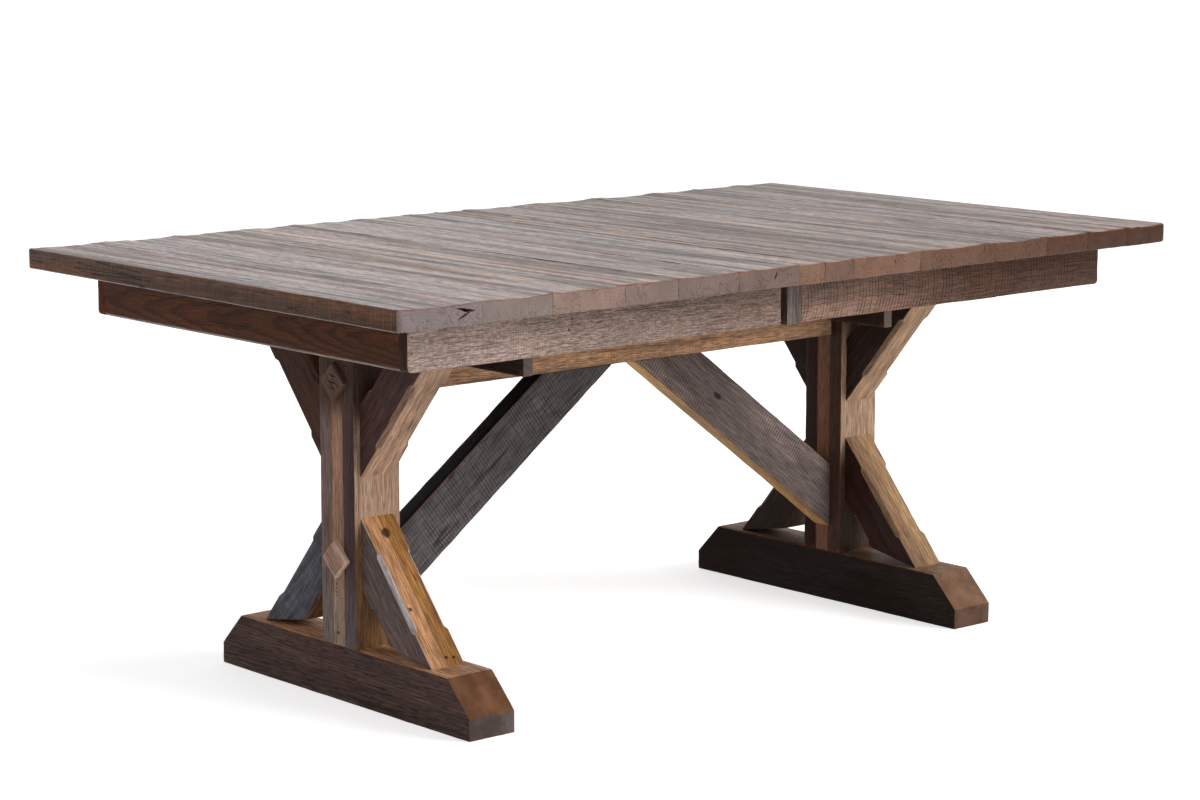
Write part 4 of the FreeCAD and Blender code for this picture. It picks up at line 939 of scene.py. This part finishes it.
APRON_NAILS = (((-0.819, -0.4434, 0.7195), 1.6), ((-0.819, -0.4434, 0.701), 1.6),
               ((-0.819, -0.4434, 0.675), 1.6), ((-0.49, -0.4434, 0.70), 2.2),
               ((-0.497, -0.4434, 0.683), 2.6))
APRONS = {
    "left_near_apron": {
        "face": "#b59e94", "fade": (-0.45, 0.42, "#8c7568"), "edge": "#7b5f4b", "end": "#3f281c",
        "saw": 0.3, "arc": 1.5, "weathering": 0.3, "gray": "#968a84", "nails": APRON_NAILS,
        "seed": 71},
    "left_far_apron": {
        "face": "#7d6a60", "edge": "#6b5546", "end": "#63341d", "saw": 0.35, "saw_pitch": 8,
        "weathering": 0.3, "seed": 72},
    "right_near_apron": {
        "face": "#896d60", "fade": (-0.42, 0.12, "#563d31"), "edge": "#7b5f4b", "end": "#5b483d",
        "saw": 0.75, "saw_pitch": 8, "arc": 6.0, "weathering": 0.15, "fibre": 0.2, "blotch": 0.25,
        "seed": 73},
    "right_far_apron": {
        "face": "#6b564b", "edge": "#6b5546", "end": "#5b483d", "saw": 0.7, "arc": 1.2,
        "weathering": 0.2, "seed": 74},
}
APRON_LOOK = {"pith": (0.02, -0.08), "relief": 1.3, "weave": (110, 480), "fibre": 0.34,
              "streak": 0.04, "pores": 0.3, "checks": 0.1, "latewood": 0.1, "blotch": 0.08}
APRON_ROUND = 9 * MM
APRON_EASE = 0.9 * MM
APRON_CELL = (12 * MM, 9 * MM, 11 * MM)


def apron_board(node, board_size, centre, turn, seed, rounded):
    """A squared board on edge with one rounded lower edge or corner."""
    board = start_board(node + "_board", board_size)
    ease(board, rounded, APRON_ROUND, 5)
    ease(board, lambda middle, run: run.length > 0.4 * board_size.y, APRON_EASE, 1)
    cross_lines(board, APRON_CELL)
    weather(board, board_size, wander=0.6, wear=1.0, seed=seed)
    set_down(board, centre, turn)
    return board


for node, stain in APRONS.items():
    hand = -1 if node.startswith("left") else 1
    centre, size = box_of(node)
    board_size = Vector((size.x, size.z, size.y))
    board = apron_board(node, board_size, centre, ON_EDGE, stain["seed"],
                        lambda middle, run: middle.x * hand > 0 and middle.y < 0
                        and abs(run.z) > 0.01)
    wood = reclaimed_wood("rough_oak_" + node, centre, ON_EDGE, **{**APRON_LOOK, **stain})
    side = "left_top" if hand < 0 else "right_top"
    dress(board, wood, side, "apron_boards", node)

for side, hand, seed, stain in (("left", -1, 75, "#61371f"), ("right", 1, 76, "#5d3a28")):
    node = side + "_end_apron"
    centre, size = box_of(node)
    board_size = Vector((size.y, size.z, size.x))
    board = apron_board(node, board_size, centre, END_ON, seed,
                        lambda middle, run: middle.z * hand > 0 and middle.y < 0
                        and abs(run.x) > 0.1)
    # The pale rim colour is a painted highlight from the floor along the lower arrises.
    wood = reclaimed_wood(
        "stained_oak_" + node, centre, END_ON, face=stain, edge="#8c7361", end=stain, saw=0.0,
        weathering=0.05, ring=7, taper=0.05, latewood=0.5, pith=(0.0, -0.05), roughness=0.42,
        ripple=0.006, wander=0.06, streak=0.08, fibre=0.15, pores=0.3, rim="#a5968e", seed=seed)
    dress(board, wood, side + "_top", "apron_boards", node)

BLOCK_DEPTH = 38 * MM
BLOCK_EASE = 1.0 * MM
BLOCK_CELL = (7 * MM, 6 * MM, 6 * MM)
middle, size = box_of("right_apron_blocks")
for place, hand, seed in (("near", -1, 77), ("far", 1, 78)):
    centre = middle + Vector((0, hand * (size.y - BLOCK_DEPTH) / 2, 0))
    block_size = Vector((size.z, size.x, BLOCK_DEPTH))
    block = start_board(place + "_apron_block", block_size)
    ease(block, every_edge, BLOCK_EASE, 2)
    cross_lines(block, BLOCK_CELL)
    weather(block, block_size, wander=0.3, wear=0.8, seed=seed)
    set_down(block, centre, UPRIGHT)
    wood = reclaimed_wood(
        "stained_oak_%s_block" % place, centre, UPRIGHT, face="#7a6d69", edge="#54463f",
        end="#5b4a41", saw=0.2, weathering=0.4, seed=seed)
    dress(block, wood, "right_top", "apron_boards", "right_apron_blocks")


# Studio ---------------------------------------------------------------
# A pale seamless floor under soft light from the right, and a camera at standing height.
# The floor and the sky look brighter to the camera than the light that they throw.

def any_sight(tree):
    """One for a ray from the camera or by way of a mirror or glass, nought for other rays."""
    rays = add_node(tree, "ShaderNodeLightPath").outputs
    seen = add_node(tree, "ShaderNodeMath", {0: rays["Is Camera Ray"], 1: rays["Is Glossy Ray"]},
                    operation="MAXIMUM").outputs[0]
    return add_node(tree, "ShaderNodeMath", {0: seen, 1: rays["Is Transmission Ray"]},
                    operation="MAXIMUM").outputs[0]


bpy.ops.object.select_all(action="DESELECT")
bpy.ops.mesh.primitive_plane_add(size=60, location=(0, 0, 0))
floor = bpy.context.object
floor.name = "studio_floor"
FLOOR_LIFT = 0.62  # carries the lit floor to plain white
paint = bpy.data.materials.new("matt_white_floor")
paint.use_nodes = True
tree = paint.node_tree
tree.nodes.clear()
speckle = add_node(tree, "ShaderNodeTexNoise", {"Scale": 3.0})
pale = add_node(tree, "ShaderNodeMix", {0: speckle.outputs[0], 6: linear("#f4f4f4"),
                7: linear("#f7f7f7")}, data_type="RGBA").outputs[2]
matt = add_node(tree, "ShaderNodeBsdfPrincipled", {"Base Color": pale, "Roughness": 0.9})
seen = any_sight(tree)
lift = add_node(tree, "ShaderNodeMath", {0: seen, 1: FLOOR_LIFT},
                operation="MULTIPLY").outputs[0]
lift = add_node(tree, "ShaderNodeEmission", {"Strength": lift})
matt = add_node(tree, "ShaderNodeAddShader", {0: matt.outputs[0], 1: lift.outputs[0]})
add_node(tree, "ShaderNodeOutputMaterial", {"Surface": matt.outputs[0]})
floor.data.materials.append(paint)

world = bpy.data.worlds.new("studio")
bpy.context.scene.world = world
world.use_nodes = True
tree = world.node_tree
tree.nodes.clear()
FILL_LIGHT = 0.45
strength = add_node(tree, "ShaderNodeMapRange", {0: any_sight(tree), 3: FILL_LIGHT,
                    4: 1.0}).outputs[0]
sky = add_node(tree, "ShaderNodeBackground", {"Color": (1, 1, 1, 1), "Strength": strength})
add_node(tree, "ShaderNodeOutputWorld", {"Surface": sky.outputs[0]})


def softbox(name, place, aim, width, height, power):
    """A large soft light on a stand, turned towards a point."""
    bpy.ops.object.light_add(type="AREA", location=place)
    box = bpy.context.object
    box.name = name
    box.data.shape = "RECTANGLE"
    box.data.size = width
    box.data.size_y = height
    box.data.energy = power
    box.visible_camera = False
    box.visible_glossy = False
    box.rotation_euler = (Vector(aim) - box.location).to_track_quat("-Z", "Y").to_euler()


softbox("key_softbox", (3.4, -5.2, 3.6), (0, 0, 0.5), 4.0, 3.0, 340)
softbox("back_softbox", (3.6, 4.6, 1.9), (0, 0, 0.7), 6.0, 2.6, 30)

FOCAL_PIXELS = 3101.3  # the focal length, in pixels
FRAME_PIXELS = 1200  # the picture's width
SENSOR_WIDTH = 36
CAMERA_PLACE = (-3.7392, -4.2076, 1.4007)
LOOKING_DOWN = 9.52  # degrees below level
LOOKING_TOWARD = 48.68  # degrees from the table's length
camera_data = bpy.data.cameras.new("camera")
camera = bpy.data.objects.new("camera", camera_data)
bpy.context.collection.objects.link(camera)
camera_data.sensor_width = SENSOR_WIDTH
camera_data.lens = SENSOR_WIDTH * FOCAL_PIXELS / FRAME_PIXELS
camera.location = CAMERA_PLACE
camera.rotation_euler = (math.radians(90 - LOOKING_DOWN), 0, math.radians(LOOKING_TOWARD - 90))
bpy.context.scene.camera = camera
bpy.context.scene.view_settings.view_transform = "Standard"
